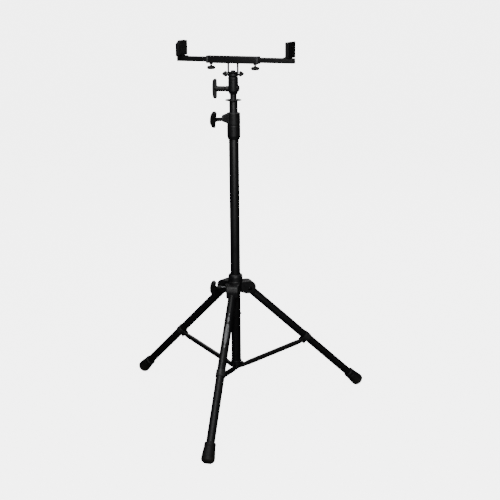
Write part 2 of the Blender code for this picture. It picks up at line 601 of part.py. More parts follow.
def build_thumbscrew(name, head, out, sleeve):
    under = SLEEVE_FOOT
    axis_place = out @ shift(SCREW_OUT, 0, under)
    cut(sleeve, rod("screw_hole_" + name, 3.3 * MM, -5 * MM, 6 * MM, None, head, axis_place, 12))
    nut = rod("screw_nut_" + name, 6.5 * MM, -4.5 * MM, -AIR, "black_cast", head, axis_place, 6)
    cut(nut, rod("nut_hole_" + name, 3.1 * MM, -8 * MM, 3 * MM, None, head, axis_place, 12))
    axis = frame(f"thumbscrew_{name}_axis", axis_place, head)
    bar_low = SLEEVE_SIDE / 2 - BAR_SIDE / 2
    turned("thumbscrew_" + name, [
        (0, bar_low - 0.4 * MM), (2.8 * MM, bar_low - 0.4 * MM), (2.8 * MM, -4.8 * MM), (4 * MM, -4.8 * MM),
        (4 * MM, -9 * MM), (THUMB_R - 4 * MM, -10 * MM), (THUMB_R, -13 * MM), (THUMB_R, -17.5 * MM),
        (THUMB_R - 4 * MM, -21 * MM), (0, -21.5 * MM),
    ], "dark_steel", axis, steps=20)


def build_arm(name, head, out, middle):
    end = ARM_ENDS[name]
    arm = frame(f"arm_{name}_axis", out @ shift(0, 0, middle), head)
    side = BAR_SIDE / 2
    inner = side - 1.6 * MM
    cap = 4 * MM
    bar = block("arm_bar_" + name, (BAR_INNER_END, -side, -side), (end - cap, side, side), "black_tube", arm)
    cut(bar, block("bar_bore_" + name, (0, -inner, -inner), (2 * end, inner, inner), None, arm))
    plug = inner - AIR
    closer = block("bar_cap_" + name, (end - cap + AIR, -side, -side), (end, side, side), "black_plastic", arm,
                   bevel=1.0 * MM)
    join(closer, block("cap_plug_" + name, (end - cap - 14 * MM, -plug, -plug), (end - 1 * MM, plug, plug),
                       None, arm))
    base = side + AIR
    top = PAD_TOP - middle
    deep = UPRIGHT_DEPTH / 2
    down, along = UPRIGHT_CORNERS[name]
    outline = [
        (-deep, base + 1.5 * MM), (-deep + 2 * MM, base), (deep - 2 * MM, base), (deep, base + 1.5 * MM),
        (deep, top - down), (deep - along, top), (3 * MM - deep, top), (-deep, top - 3 * MM),
    ]
    outer = end - UPRIGHT_INSET
    upright = plate("upright_" + name, [outline], 3 * MM, "black_cast", arm, END_PLANE, outer - 1.5 * MM)
    join(upright, block("upright_foot_" + name, (outer - 28 * MM, -9 * MM, base + 0.05 * MM),
                        (outer - 2 * MM, 9 * MM, base + 2.5 * MM), None, arm))
    low = base + 2.5 * MM + AIR
    edge = deep - 1.5 * MM
    pad_outline = [
        (-edge, low), (edge, low), (edge, top - down - 0.5 * MM), (edge - along + 0.5 * MM, top - 1 * MM),
        (2 * MM - edge, top - 1 * MM), (-edge, top - 3 * MM),
    ]
    middle_of_pad = outer - 3 * MM - AIR - PAD_THICK / 2
    plate("pad_" + name, [pad_outline], PAD_THICK, "rubber", arm, END_PLANE, middle_of_pad)


def build():
    stand = frame("stand_axis", shift(0, MAST_Y, 0))
    build_mast(stand)
    build_hub(stand)
    build_upper(stand)


build()
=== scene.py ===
import json
import math

import bmesh
import bpy
from mathutils import Matrix, Vector


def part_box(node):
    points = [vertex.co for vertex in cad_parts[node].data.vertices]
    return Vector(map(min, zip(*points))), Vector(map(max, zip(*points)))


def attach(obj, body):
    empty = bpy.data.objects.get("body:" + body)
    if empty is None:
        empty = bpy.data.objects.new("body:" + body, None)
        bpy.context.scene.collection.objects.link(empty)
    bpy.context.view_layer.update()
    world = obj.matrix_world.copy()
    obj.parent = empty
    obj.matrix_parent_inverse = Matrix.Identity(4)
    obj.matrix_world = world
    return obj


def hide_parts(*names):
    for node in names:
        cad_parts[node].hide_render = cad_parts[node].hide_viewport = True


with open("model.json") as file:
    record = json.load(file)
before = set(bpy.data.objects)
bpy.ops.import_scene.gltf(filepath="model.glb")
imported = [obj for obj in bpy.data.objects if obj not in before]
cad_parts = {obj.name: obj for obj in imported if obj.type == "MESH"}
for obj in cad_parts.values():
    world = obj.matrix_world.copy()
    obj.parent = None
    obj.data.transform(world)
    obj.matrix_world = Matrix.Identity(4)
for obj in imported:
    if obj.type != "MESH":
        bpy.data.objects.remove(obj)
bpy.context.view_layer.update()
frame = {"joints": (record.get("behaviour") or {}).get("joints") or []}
mm = 0.001                  # shapes are drawn in millimetres and shrunk when they are put in place

joints = {joint["name"]: joint for joint in frame["joints"]}
sideAngle = {"front": 0, "right": 120, "left": -120}    # degrees from the front leg
legTilt = 46.35                                         # degrees from upright
knobAngle = -60                                         # hub and collar knobs, from the front leg


def shift(x=0.0, y=0.0, z=0.0):     # a place in metres, from millimetres
    return Matrix.Translation((x * mm, y * mm, z * mm))


def nudge(x=0.0, y=0.0, z=0.0):     # a place for shapes that are still in millimetres
    return Matrix.Translation((x, y, z))


def turn(degrees, axis):
    return Matrix.Rotation(math.radians(degrees), 4, axis)


def axesAt(point, xAxis, zAxis):
    x = Vector(xAxis).normalized()
    z = Vector(zAxis).normalized()
    place = Matrix((x, z.cross(x), z)).transposed().to_4x4()
    place.translation = point
    return place


def jointPoint(name):
    return Vector(joints[name]["pos_m"])


def jointAxis(name):
    return Vector(joints[name]["axis"])


tubeLow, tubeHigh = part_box("main_tube")
mastAxis = Matrix.Translation(((tubeLow.x + tubeHigh.x) / 2, (tubeLow.y + tubeHigh.y) / 2, 0))
pinHeight = jointPoint("leg_front_fold").z / mm
hubAxis = mastAxis @ shift(z=pinHeight)
alongX = turn(90, "Y")              # +Z of a piece to +X
outwards = turn(90, "X")            # +Z of a piece to -Y, away from the mast
standing = Matrix(((0, 0, 1, 0), (-1, 0, 0, 0), (0, 1, 0, 0), (0, 0, 0, 1)))    # (reach, height) outlines
squareToX = Matrix(((0, 0, 1, 0), (1, 0, 0, 0), (0, 1, 0, 0), (0, 0, 0, 1)))    # (depth, height) outlines


# Making, fusing and placing shapes

def shown(mesh, label="shape"):
    thing = bpy.data.objects.new(label, mesh)
    bpy.context.scene.collection.objects.link(thing)
    return thing


def formed(shape):                  # a finished bmesh becomes an object
    mesh = bpy.data.meshes.new("shape")
    shape.to_mesh(mesh)
    shape.free()
    return shown(mesh)


def fixed(thing):                   # modifiers and place go into a new plain mesh
    bpy.context.view_layer.update()
    depsgraph = bpy.context.evaluated_depsgraph_get()
    mesh = bpy.data.meshes.new_from_object(thing.evaluated_get(depsgraph))
    mesh.transform(thing.matrix_world)
    bpy.data.objects.remove(thing)
    return shown(mesh)


def moved(thing, place):
    thing.data.transform(place)
    return thing


def together(things):
    shape = bmesh.new()
    for thing in things:
        shape.from_mesh(thing.data)
        bpy.data.objects.remove(thing)
    return formed(shape)


def eased(points, radius, closed=True, bends=3):    # corners of a flat outline, rounded
    result = []
    for i, point in enumerate(points):
        here = Vector(point)
        if not closed and i in (0, len(points) - 1):
            result.append(here)
            continue
        back = Vector(points[i - 1]) - here
        ahead = Vector(points[(i + 1) % len(points)]) - here
        angle = back.angle(ahead)
        if angle > math.radians(165) or radius <= 0:
            result.append(here)
            continue
        cut = min(radius / math.tan(angle / 2), 0.42 * back.length, 0.42 * ahead.length)
        start = here + back.normalized() * cut
        end = here + ahead.normalized() * cut
        for k in range(bends + 1):
            t = k / bends
            result.append(start * (1 - t) ** 2 + here * 2 * t * (1 - t) + end * t * t)
    return result


def spun(profile, ease=0.6, steps=72):      # (radius, height) points, turned about Z
    closed = profile[0][0] > 0
    points = eased(profile, ease, closed)
    shape = bmesh.new()
    rings = []
    for radius, height in points:
        if radius < 0.001:
            rings.append([shape.verts.new((0, 0, height))] * steps)
            continue
        angles = [2 * math.pi * k / steps for k in range(steps)]
        rings.append([shape.verts.new((radius * math.cos(a), radius * math.sin(a), height)) for a in angles])
    for i in range(len(rings) if closed else len(rings) - 1):
        upper, lower = rings[i], rings[(i + 1) % len(rings)]
        for k in range(steps):
            j = (k + 1) % steps
            corners = list(dict.fromkeys((upper[k], lower[k], lower[j], upper[j])))
            if len(corners) > 2:
                shape.faces.new(corners)
    bmesh.ops.recalc_face_normals(shape, faces=shape.faces)
    return formed(shape)


def slab(outlines, thickness, edge=0.5, bends=2):   # flat piece with rounded edges; later outlines are holes
    curve = bpy.data.curves.new("slab", "CURVE")
    curve.dimensions = "2D"
    curve.fill_mode = "BOTH"
    curve.extrude = thickness / 2 - edge
    curve.bevel_depth = edge
    curve.bevel_resolution = bends
    curve.offset = -edge
    for outline in outlines:
        spline = curve.splines.new("POLY")
        spline.points.add(len(outline) - 1)
        for point, (x, y) in zip(spline.points, outline):
            point.co = (x, y, 0, 1)
        spline.use_cyclic_u = True
    guide = bpy.data.objects.new("slab", curve)
    bpy.context.scene.collection.objects.link(guide)
    solid = fixed(guide)
    shape = bmesh.new()
    shape.from_mesh(solid.data)
    bmesh.ops.remove_doubles(shape, verts=shape.verts, dist=0.004)
    bmesh.ops.recalc_face_normals(shape, faces=shape.faces)
    shape.to_mesh(solid.data)
    shape.free()
    return solid


def bar(low, high, edge=0.6, bends=3):      # box between two corners, with rounded edges
    size = [b - a for a, b in zip(low, high)]
    middle = [(a + b) / 2 for a, b in zip(low, high)]
    shape = bmesh.new()
    bmesh.ops.create_cube(shape, size=1.0, matrix=Matrix.Translation(middle) @ Matrix.Diagonal((*size, 1)))
    if edge:
        bmesh.ops.bevel(shape, geom=shape.edges[:], offset=edge, segments=bends, affect="EDGES", profile=0.5)
    return formed(shape)


def arc(cx, cy, radius, start, end, count):
    points = []
    for i in range(count + 1):
        angle = math.radians(start + (end - start) * i / count)
        points.append((cx + radius * math.cos(angle), cy + radius * math.sin(angle)))
    return points


def dowel(radius, low, high, steps=48):
    return spun([(0, high), (radius, high), (radius, low), (0, low)], 0, steps)


def fused(body, added=(), removed=(), grain=0.0, passes=6):
    for operation, tools in (("UNION", added), ("DIFFERENCE", removed)):
        for tool in tools:
            step = body.modifiers.new("fuse", "BOOLEAN")
            step.operation = operation
            step.object = tool
    if grain:               # skin of even faces, so that every inside corner gets a cast fillet
        skin = body.modifiers.new("skin", "REMESH")
        skin.mode = "VOXEL"
        skin.voxel_size = grain
        smooth = body.modifiers.new("fillets", "SMOOTH")
        smooth.factor = 0.5
        smooth.iterations = passes
    made = fixed(body)
    for tool in [*added, *removed]:
        bpy.data.objects.remove(tool)
    return made


def settle(thing, name, place, body, finish, slotName, *nodes, crease=38):
    mesh = thing.data
    mesh.transform(place @ Matrix.Scale(mm, 4))
    mesh.shade_smooth()
    mesh.set_sharp_from_angle(angle=math.radians(crease))
    mesh.materials.clear()
    mesh.materials.append(finish)
    thing.name = name
    mesh.name = name
    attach(thing, body)
    if nodes:
        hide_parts(*nodes)
    return thing


# Node trees

def addNode(tree, kind, settings=None, links=None):
    node = tree.nodes.new(kind)
    for key, value in (settings or {}).items():
        if isinstance(key, int) or key in node.inputs:
            node.inputs[key].default_value = value
        else:
            setattr(node, key, value)
    for key, source in (links or {}).items():       # a node stands for its first output
        socket = source if isinstance(source, bpy.types.NodeSocket) else source.outputs[0]
        tree.links.new(socket, node.inputs[key])
    return node


def newTree(name, sizes):           # a geometry tree with named inputs
    tree = bpy.data.node_groups.new(name, "GeometryNodeTree")
    tree.interface.new_socket("Geometry", in_out="OUTPUT", socket_type="NodeSocketGeometry")
    kinds = {float: "NodeSocketFloat", int: "NodeSocketInt", bool: "NodeSocketBool"}
    for label, value in sizes.items():
        socket = tree.interface.new_socket(label, in_out="INPUT", socket_type=kinds[type(value)])
        socket.default_value = value
    tree.interface.new_socket("Finish", in_out="INPUT", socket_type="NodeSocketMaterial")
    return tree, tree.nodes.new("NodeGroupInput").outputs


def closeTree(tree, given, geometry):
    real = addNode(tree, "GeometryNodeRealizeInstances", {}, {0: geometry})
    painted = addNode(tree, "GeometryNodeSetMaterial", {}, {"Geometry": real, "Material": given["Finish"]})
    addNode(tree, "NodeGroupOutput", {}, {0: painted})


def grown(tree, finish, sizes):
    holder = shown(bpy.data.meshes.new("grown"))
    step = holder.modifiers.new("grown", "NODES")
    step.node_group = tree
    for socket in tree.interface.items_tree:
        if socket.in_out == "INPUT" and socket.name in sizes:
            step[socket.identifier] = sizes[socket.name]
        if socket.in_out == "INPUT" and socket.name == "Finish":
            step[socket.identifier] = finish
    return fixed(holder)


def makeSectionTree():              # drawn tube, round or square, with rolled rims
    tree, given = newTree("drawnTube", {"Square": False, "Width": 35.0, "Corner": 2.0, "Wall": 2.0,
                                        "Length": 100.0, "Rim": 0.6})
    width = addNode(tree, "ShaderNodeMath", {"operation": "SUBTRACT"}, {0: given["Width"], 1: given["Wall"]})
    radius = addNode(tree, "ShaderNodeMath", {"operation": "MULTIPLY", 1: 0.5}, {0: width})
    ring = addNode(tree, "GeometryNodeCurvePrimitiveCircle", {"Resolution": 80}, {"Radius": radius})
    sharp = addNode(tree, "GeometryNodeCurvePrimitiveQuadrilateral", {},
                    {"Width": width, "Height": width})
    square = addNode(tree, "GeometryNodeFilletCurve", {"mode": "POLY", "Count": 7, "Limit Radius": True},
                     {"Curve": sharp, "Radius": given["Corner"]})
    path = addNode(tree, "GeometryNodeSwitch", {"input_type": "GEOMETRY"},
                   {"Switch": given["Square"], "False": ring, "True": square})
    cut = addNode(tree, "GeometryNodeCurvePrimitiveQuadrilateral", {},
                  {"Width": given["Wall"], "Height": given["Length"]})
    rim = addNode(tree, "GeometryNodeFilletCurve", {"mode": "POLY", "Count": 3, "Limit Radius": True},
                  {"Curve": cut, "Radius": given["Rim"]})
    swept = addNode(tree, "GeometryNodeCurveToMesh", {}, {"Curve": path, "Profile Curve": rim})
    closeTree(tree, given, swept)
    return tree


def makeThreadTree():               # round rod with a helical ridge, from z = 0 up
    tree, given = newTree("screwThread", {"Radius": 3.4, "Length": 30.0, "Pitch": 1.5})
    half = addNode(tree, "ShaderNodeMath", {"operation": "MULTIPLY", 1: 0.5}, {0: given["Length"]})
    lift = addNode(tree, "ShaderNodeCombineXYZ", {}, {"Z": half})
    rod = addNode(tree, "GeometryNodeMeshCylinder", {"Vertices": 36},
                  {"Radius": given["Radius"], "Depth": given["Length"]})
    core = addNode(tree, "GeometryNodeTransform", {}, {"Geometry": rod, "Translation": lift})
    rise = addNode(tree, "ShaderNodeMath", {"operation": "SUBTRACT", 1: 1.2}, {0: given["Length"]})
    turns = addNode(tree, "ShaderNodeMath", {"operation": "DIVIDE"}, {0: rise, 1: given["Pitch"]})
    helix = addNode(tree, "GeometryNodeCurveSpiral", {"Resolution": 24},
                    {"Rotations": turns, "Start Radius": given["Radius"],
                     "End Radius": given["Radius"], "Height": rise})
    low = addNode(tree, "GeometryNodeTransform", {"Translation": (0, 0, 0.6)}, {"Geometry": helix})
    tooth = addNode(tree, "GeometryNodeCurvePrimitiveCircle", {"Resolution": 4, "Radius": 0.38})
    ridge = addNode(tree, "GeometryNodeCurveToMesh", {"Fill Caps": True},
                    {"Curve": low, "Profile Curve": tooth})
    both = addNode(tree, "GeometryNodeJoinGeometry", {}, {0: core})
    tree.links.new(ridge.outputs[0], both.inputs[0])
    closeTree(tree, given, both)
    return tree


def makeRibTree():                  # a row of round-backed ribs along X, each standing along Z
    tree, given = newTree("ribRow", {"Count": 8, "Pitch": 6.0, "Height": 30.0, "Radius": 0.8})
    step = addNode(tree, "ShaderNodeCombineXYZ", {}, {"X": given["Pitch"]})
    less = addNode(tree, "ShaderNodeMath", {"operation": "SUBTRACT", 1: 1.0}, {0: given["Count"]})
    span = addNode(tree, "ShaderNodeMath", {"operation": "MULTIPLY"}, {0: less, 1: given["Pitch"]})
    back = addNode(tree, "ShaderNodeMath", {"operation": "MULTIPLY", 1: -0.5}, {0: span})
    start = addNode(tree, "ShaderNodeCombineXYZ", {}, {"X": back})
    row = addNode(tree, "GeometryNodeMeshLine", {"mode": "OFFSET"},
                  {"Count": given["Count"], "Start Location": start, "Offset": step})
    rib = addNode(tree, "GeometryNodeMeshCylinder", {"Vertices": 16},
                  {"Radius": given["Radius"], "Depth": given["Height"]})
    placed = addNode(tree, "GeometryNodeInstanceOnPoints", {}, {"Points": row, "Instance": rib})
    closeTree(tree, given, placed)
    return tree


def makeRivetTree():                # two domed heads on a shank along Z
    tree, given = newTree("rivet", {"Span": 40.0, "Head": 5.0, "Rise": 2.0, "Shank": 3.0})
    half = addNode(tree, "ShaderNodeMath", {"operation": "MULTIPLY", 1: 0.5}, {0: given["Span"]})
    down = addNode(tree, "ShaderNodeMath", {"operation": "MULTIPLY", 1: -0.5}, {0: given["Span"]})
    first = addNode(tree, "ShaderNodeCombineXYZ", {}, {"Z": down})
    last = addNode(tree, "ShaderNodeCombineXYZ", {}, {"Z": half})
    ends = addNode(tree, "GeometryNodeMeshLine", {"mode": "END_POINTS", "Count": 2},
                   {"Start Location": first, "Offset": last})
    ball = addNode(tree, "GeometryNodeMeshUVSphere", {"Segments": 32, "Rings": 16, "Radius": 1.0})
    size = addNode(tree, "ShaderNodeCombineXYZ", {}, {"X": given["Head"], "Y": given["Head"],
                                                      "Z": given["Rise"]})
    dome = addNode(tree, "GeometryNodeTransform", {}, {"Geometry": ball, "Scale": size})
    heads = addNode(tree, "GeometryNodeInstanceOnPoints", {}, {"Points": ends, "Instance": dome})
    shank = addNode(tree, "GeometryNodeMeshCylinder", {"Vertices": 32},
                    {"Radius": given["Shank"], "Depth": given["Span"]})
    both = addNode(tree, "GeometryNodeJoinGeometry", {}, {0: shank})
    tree.links.new(heads.outputs[0], both.inputs[0])
    closeTree(tree, given, both)
    return tree


sectionTree = makeSectionTree()
threadTree = makeThreadTree()
ribTree = makeRibTree()
rivetTree = makeRivetTree()
print("node trees made")


# Finishes

def hexColour(code):                # sRGB hex to linear
    values = [int(code[i:i + 2], 16) / 255 for i in (1, 3, 5)]
    return tuple(v / 12.92 if v <= 0.04045 else ((v + 0.055) / 1.055) ** 2.4 for v in values) + (1.0,)


def perMm(size):                    # noise scale for features of that size
    return 1 / (size * mm)


def surface(name, look, place=Matrix()):
    material = bpy.data.materials.new(name)
    material.use_nodes = True
    tree = material.node_tree
    shader = tree.nodes["Principled BSDF"]
    shader.inputs["Metallic"].default_value = look["metal"]
    shader.inputs["Specular IOR Level"].default_value = look["gloss"]
    inside = place.inverted()
    point = addNode(tree, "ShaderNodeTexCoord")
    own = addNode(tree, "ShaderNodeMapping", {"Location": inside.translation, "Rotation": inside.to_euler()},
                  {"Vector": point.outputs["Object"]})
    drawn = addNode(tree, "ShaderNodeMapping", {"Scale": (1, 1, look.get("stretch", 1.0))},
                    {"Vector": own})

    grain = addNode(tree, "ShaderNodeTexNoise", {"Scale": perMm(look["grain"]), "Detail": 3.0,
                                                 "Roughness": 0.6}, {"Vector": own})
    patches = addNode(tree, "ShaderNodeTexNoise", {"Scale": perMm(look["patch"]), "Detail": 4.0},
                      {"Vector": own})
    scuffs = addNode(tree, "ShaderNodeTexNoise", {"Scale": perMm(look["scuff"]), "Detail": 5.0,
                                                  "Roughness": 0.7}, {"Vector": drawn})
    scuffed = addNode(tree, "ShaderNodeMapRange", {1: 0.60, 2: 0.74, 3: 0.0, 4: look["scuffs"]},
                      {0: scuffs})

    tone = addNode(tree, "ShaderNodeMix", {"data_type": "RGBA", 6: hexColour(look["dark"]),
                                           7: hexColour(look["light"])}, {0: patches})
    rubbed = addNode(tree, "ShaderNodeMix", {"data_type": "RGBA", 7: hexColour(look["rubbed"])},
                     {0: scuffed, 6: tone.outputs[2]})
    bare = addNode(tree, "ShaderNodeNewGeometry")
    edge = addNode(tree, "ShaderNodeMapRange", {1: 0.53, 2: 0.62, 3: 0.0, 4: look["edges"]},
                   {0: bare.outputs["Pointiness"]})
    broken = addNode(tree, "ShaderNodeMath", {"operation": "MULTIPLY"}, {0: edge, 1: scuffs})
    worn = addNode(tree, "ShaderNodeMix", {"data_type": "RGBA", 7: hexColour(look["worn"])},
                   {0: broken, 6: rubbed.outputs[2]})

    low, high = look["rough"]
    rough = addNode(tree, "ShaderNodeMapRange", {1: 0.3, 2: 0.7, 3: low, 4: high}, {0: patches})
    rougher = addNode(tree, "ShaderNodeMath", {"operation": "MULTIPLY_ADD", 1: 0.25},
                      {0: scuffed, 2: rough})
    bump = addNode(tree, "ShaderNodeBump", {"Strength": look["bump"], "Distance": look["depth"] * mm},
                   {"Height": grain})
    colour = worn.outputs[2]
    if "dust" in look:              # settles low on the piece
        height = addNode(tree, "ShaderNodeSeparateXYZ", {}, {0: point.outputs["Object"]})
        settled = addNode(tree, "ShaderNodeMapRange", {1: 0.0, 2: look["dustHigh"] * mm, 3: look["dust"],
                                                       4: 0.0}, {0: height.outputs[2]})
        soiled = addNode(tree, "ShaderNodeMath", {"operation": "MULTIPLY"}, {0: settled, 1: scuffs})
        colour = addNode(tree, "ShaderNodeMix", {"data_type": "RGBA", 7: hexColour(look["soil"])},
                         {0: soiled, 6: colour}).outputs[2]
    tree.links.new(colour, shader.inputs["Base Color"])
    tree.links.new(rougher.outputs[0], shader.inputs["Roughness"])
    tree.links.new(bump.outputs[0], shader.inputs["Normal"])
    return material


# grain, patch and scuff are sizes in millimetres; the finer grains are drawn as coarse as they need to show
#
# powder coat on drawn steel tube: dark, semi-gloss, a fine orange peel and faint rub marks along the tube
powderCoat = {"dark": "#101011", "light": "#19191b", "rubbed": "#2a2a2c", "worn": "#55534f", "metal": 0.0,
              "gloss": 0.5, "grain": 1.3, "patch": 45, "scuff": 2.2, "stretch": 0.06, "scuffs": 0.35,
              "edges": 0.5, "rough": (0.38, 0.48), "bump": 0.22, "depth": 0.12}
# textured enamel on die-cast zinc: a little greyer, pebbled, breaks the light up
castEnamel = {"dark": "#141415", "light": "#1e1e20", "rubbed": "#2c2c2e", "worn": "#4a4a4a", "metal": 0.0,
              "gloss": 0.5, "grain": 1.0, "patch": 14, "scuff": 2.0, "scuffs": 0.3, "edges": 0.6,
              "rough": (0.36, 0.50), "bump": 0.4, "depth": 0.15}
# glass-filled nylon from a spark-eroded mould: fine even grain, dull shine
mouldedNylon = {"dark": "#111112", "light": "#171718", "rubbed": "#222223", "worn": "#333334", "metal": 0.0,
                "gloss": 0.5, "grain": 0.7, "patch": 10, "scuff": 1.5, "scuffs": 0.25, "edges": 0.4,
                "rough": (0.40, 0.52), "bump": 0.35, "depth": 0.1}
# vulcanised rubber: matt, faintly pebbled, dusty where it meets the ground
bootRubber = {"dark": "#111111", "light": "#1a1a1a", "rubbed": "#2b2a29", "worn": "#3a3937", "metal": 0.0,
              "gloss": 0.4, "grain": 1.6, "patch": 12, "scuff": 2.5, "scuffs": 0.4, "edges": 0.4,
              "rough": (0.50, 0.66), "bump": 0.45, "depth": 0.2, "dust": 0.5, "dustHigh": 35,
              "soil": "#5c564c"}
# skinned foam rubber on the uprights: matt with open pores
padRubber = {"dark": "#0f0f10", "light": "#1b1b1c", "rubbed": "#262627", "worn": "#323233", "metal": 0.0,
             "gloss": 0.35, "grain": 0.9, "patch": 8, "scuff": 2.0, "scuffs": 0.3, "edges": 0.3,
             "rough": (0.60, 0.78), "bump": 0.6, "depth": 0.25}
# grey nylon of the liners and end bushes: smooth, slightly milky
greyNylon = {"dark": "#3b3c3e", "light": "#4a4b4d", "rubbed": "#5c5d5f", "worn": "#6b6c6e", "metal": 0.0,
             "gloss": 0.5, "grain": 0.8, "patch": 9, "scuff": 1.6, "scuffs": 0.3, "edges": 0.4,
             "rough": (0.42, 0.55), "bump": 0.25, "depth": 0.08}
# bright zinc plate on the threaded studs: cool grey metal, hazy, with drawn lines
zincPlate = {"dark": "#8b8c8f", "light": "#a9aaac", "rubbed": "#6f7072", "worn": "#c4c4c6", "metal": 1.0,
             "gloss": 0.5, "grain": 0.6, "patch": 6, "scuff": 0.8, "stretch": 0.2, "scuffs": 0.4,
             "edges": 0.5, "rough": (0.28, 0.45), "bump": 0.2, "depth": 0.05}
# heat-blackened steel of the pins, rivets, bolt and stirrup: almost black, oily shine, rims rubbed bright
blackenedSteel = {"dark": "#1b1b1d", "light": "#29292b", "rubbed": "#3a3a3c", "worn": "#7a7a7c",
                  "metal": 0.85, "gloss": 0.5, "grain": 0.5, "patch": 5, "scuff": 1.0, "scuffs": 0.3,
                  "edges": 0.7, "rough": (0.28, 0.42), "bump": 0.2, "depth": 0.05}
# silver screen print, thin and broken where hands and the brace rub it
silverPrint = {"dark": "#6f7072", "light": "#8e8f91", "rubbed": "#1a1a1b", "worn": "#8e8f91", "metal": 0.25,
               "gloss": 0.5, "grain": 0.6, "patch": 9, "scuff": 2.6, "stretch": 0.5, "scuffs": 0.9,
               "edges": 0.0, "rough": (0.38, 0.5), "bump": 0.15, "depth": 0.05}

tubeCoat = surface("powderCoatMast", powderCoat, mastAxis)
castCoat = surface("castEnamel", castEnamel)
nylon = surface("mouldedNylon", mouldedNylon)
rubber = surface("bootRubber", bootRubber)
foam = surface("padRubber", padRubber)
liner = surface("greyNylon", greyNylon)
zinc = surface("zincPlate", zincPlate)
blackSteel = surface("blackenedSteel", blackenedSteel)
print("finishes made")


# Centre tube, its collar and the lower bracket

mast = {"radius": 17.5, "wall": 2.0, "foot": 158, "head": 1022, "rivetHeight": 350,
        "collarRadius": 23, "collarFoot": 983, "collarHead": 1075, "lugWide": 18, "screwDown": 21,
        "collarKnobReach": 59, "collarKnobLength": 58, "innerRadius": 14.75}


def section(finish, width, wall, low, high, square=False, corner=2.0, rim=0.6):     # tube along Z
    tube = grown(sectionTree, finish, {"Square": square, "Width": float(width), "Wall": float(wall),
                                       "Corner": corner, "Length": float(high - low), "Rim": rim})
    return moved(tube, nudge(z=(low + high) / 2))


def thread(finish, radius, low, high, pitch=1.5):
    return moved(grown(threadTree, finish, {"Radius": radius, "Length": float(high - low), "Pitch": pitch}),
                 nudge(z=low))


def rivet(span, head, rise, shank):
    return grown(rivetTree, blackSteel, {"Span": float(span), "Head": head, "Rise": rise, "Shank": shank})


tube = section(tubeCoat, mast["radius"] * 2, mast["wall"], mast["foot"], mast["head"])
settle(tube, "mainTube", mastAxis, "mast", tubeCoat, "black_tube", "main_tube")
rivetPlace = mastAxis @ shift(mast["radius"], 0, mast["rivetHeight"]) @ alongX
stop = spun([(0, 3.4), (1.6, 3.1), (3.0, 2.2), (3.6, 0.6), (3.6, 0.3), (2, 0.3), (2, -2.4), (0, -2.4)],
            0.4, 40)
settle(stop, "stopRivet", rivetPlace, "mast", blackSteel, "dark_steel", "stop_rivet")


def makeCollar():
    r, foot, head = mast["collarRadius"], mast["collarFoot"], mast["collarHead"]
    rim = mast["head"]
    body = spun([(r - 1.2, head), (r, head - 1.4), (r, head - 41), (r - 0.7, head - 42),
                 (r - 0.7, head - 44), (r, head - 45), (r, foot + 12), (r - 3, foot), (17.8, foot),
                 (17.8, rim + 0.3), (15.4, rim + 0.3), (15.4, rim + 8), (18.7, rim + 8), (18.7, head)],
                0.5, 96)
    lugTop = head - 1
    middle = head - mast["screwDown"]
    lug = slab([[(19.5, lugTop), (19.5, head - 38), (26, middle - 14), (40, middle - 8.5), (41.5, middle - 6),
                 (41.5, middle + 9), (38, middle + 14)]], mast["lugWide"], 2.0, 4)
    moved(lug, turn(knobAngle, "Z") @ standing)
    hole = moved(dowel(4.3, 10, 60), turn(knobAngle, "Z") @ nudge(z=middle) @ outwards)
    return fused(body, [lug], [hole], 0.8, 5)


settle(makeCollar(), "collarCasting", mastAxis, "mast", castCoat, "black_cast", "upper_collar", crease=50)
linerTop, linerFoot = mast["collarHead"] + 1, mast["head"] + 8.3
collarLiner = spun([(18.4, linerTop), (18.4, linerFoot), (15.05, linerFoot), (15.05, linerTop)], 0.4, 80)
settle(collarLiner, "collarLiner", mastAxis, "mast", liner, "grey_plastic", "collar_bush")


bracket = {"reach": 28.4, "height": 146.6, "skirt": 19.6, "core": 12, "earRound": 6, "earThick": 3,
           "earOff": 6.9, "outside": 8, "plug": 15.2, "socket": 17.8}


def makeFootBracket():
    reach, height, core, end = (bracket[key] for key in ("reach", "height", "core", "earRound"))
    plug, socket, skirt = bracket["plug"], bracket["socket"], bracket["skirt"]
    top = mast["foot"] - 0.3
    body = spun([(0, top + 24), (plug, top + 24), (plug, top), (socket, top), (socket, top + 12),
                 (skirt, top + 12), (skirt, top - 5), (core, top - 9), (core, height - 9), (0, height - 9)],
                0.8, 72)
    outline = [(9, top - 0.4), (9, height - 8.4), (reach, height - end)]
    outline += arc(reach, height, end, -60, 60, 10) + [(reach, top - 0.4)]
    ears = []
    for angle in sideAngle.values():
        for offset in (-bracket["earOff"], bracket["earOff"]):
            ear = moved(slab([outline], bracket["earThick"], 0.5), nudge(z=offset))
            ears.append(moved(ear, turn(angle, "Z") @ standing))
    return fused(body, ears, (), 0.6, 4)


settle(makeFootBracket(), "footBracket", mastAxis, "mast", castCoat, "black_cast", "lower_bracket", crease=50)
domes = []
for angle in sideAngle.values():
    ear = turn(angle, "Z") @ nudge(0, -bracket["reach"], bracket["height"])
    for sign in (-1, 1):            # heads only, since this pivot is left open
        dome = spun([(0, 2.4), (2.2, 2.1), (3.8, 1.2), (4.2, 0.2), (4.2, -0.4), (0, -0.4)], 0.3, 32)
        domes.append(moved(dome, ear @ turn(90 * sign, "Y") @ nudge(z=bracket["outside"])))
settle(together(domes), "bracketRivets", mastAxis, "mast", blackSteel, "dark_steel")


# Clamping knobs: two swept wings on a threaded stud

wingShape = [(-1, 11), (-0.93, 18), (-0.55, 23.5), (0, 25), (0.55, 23.5), (0.93, 18), (1, 11),
             (0.95, 5.5), (0.5, 6.5), (0, 6), (-0.5, 6.5), (-0.95, 5.5)]


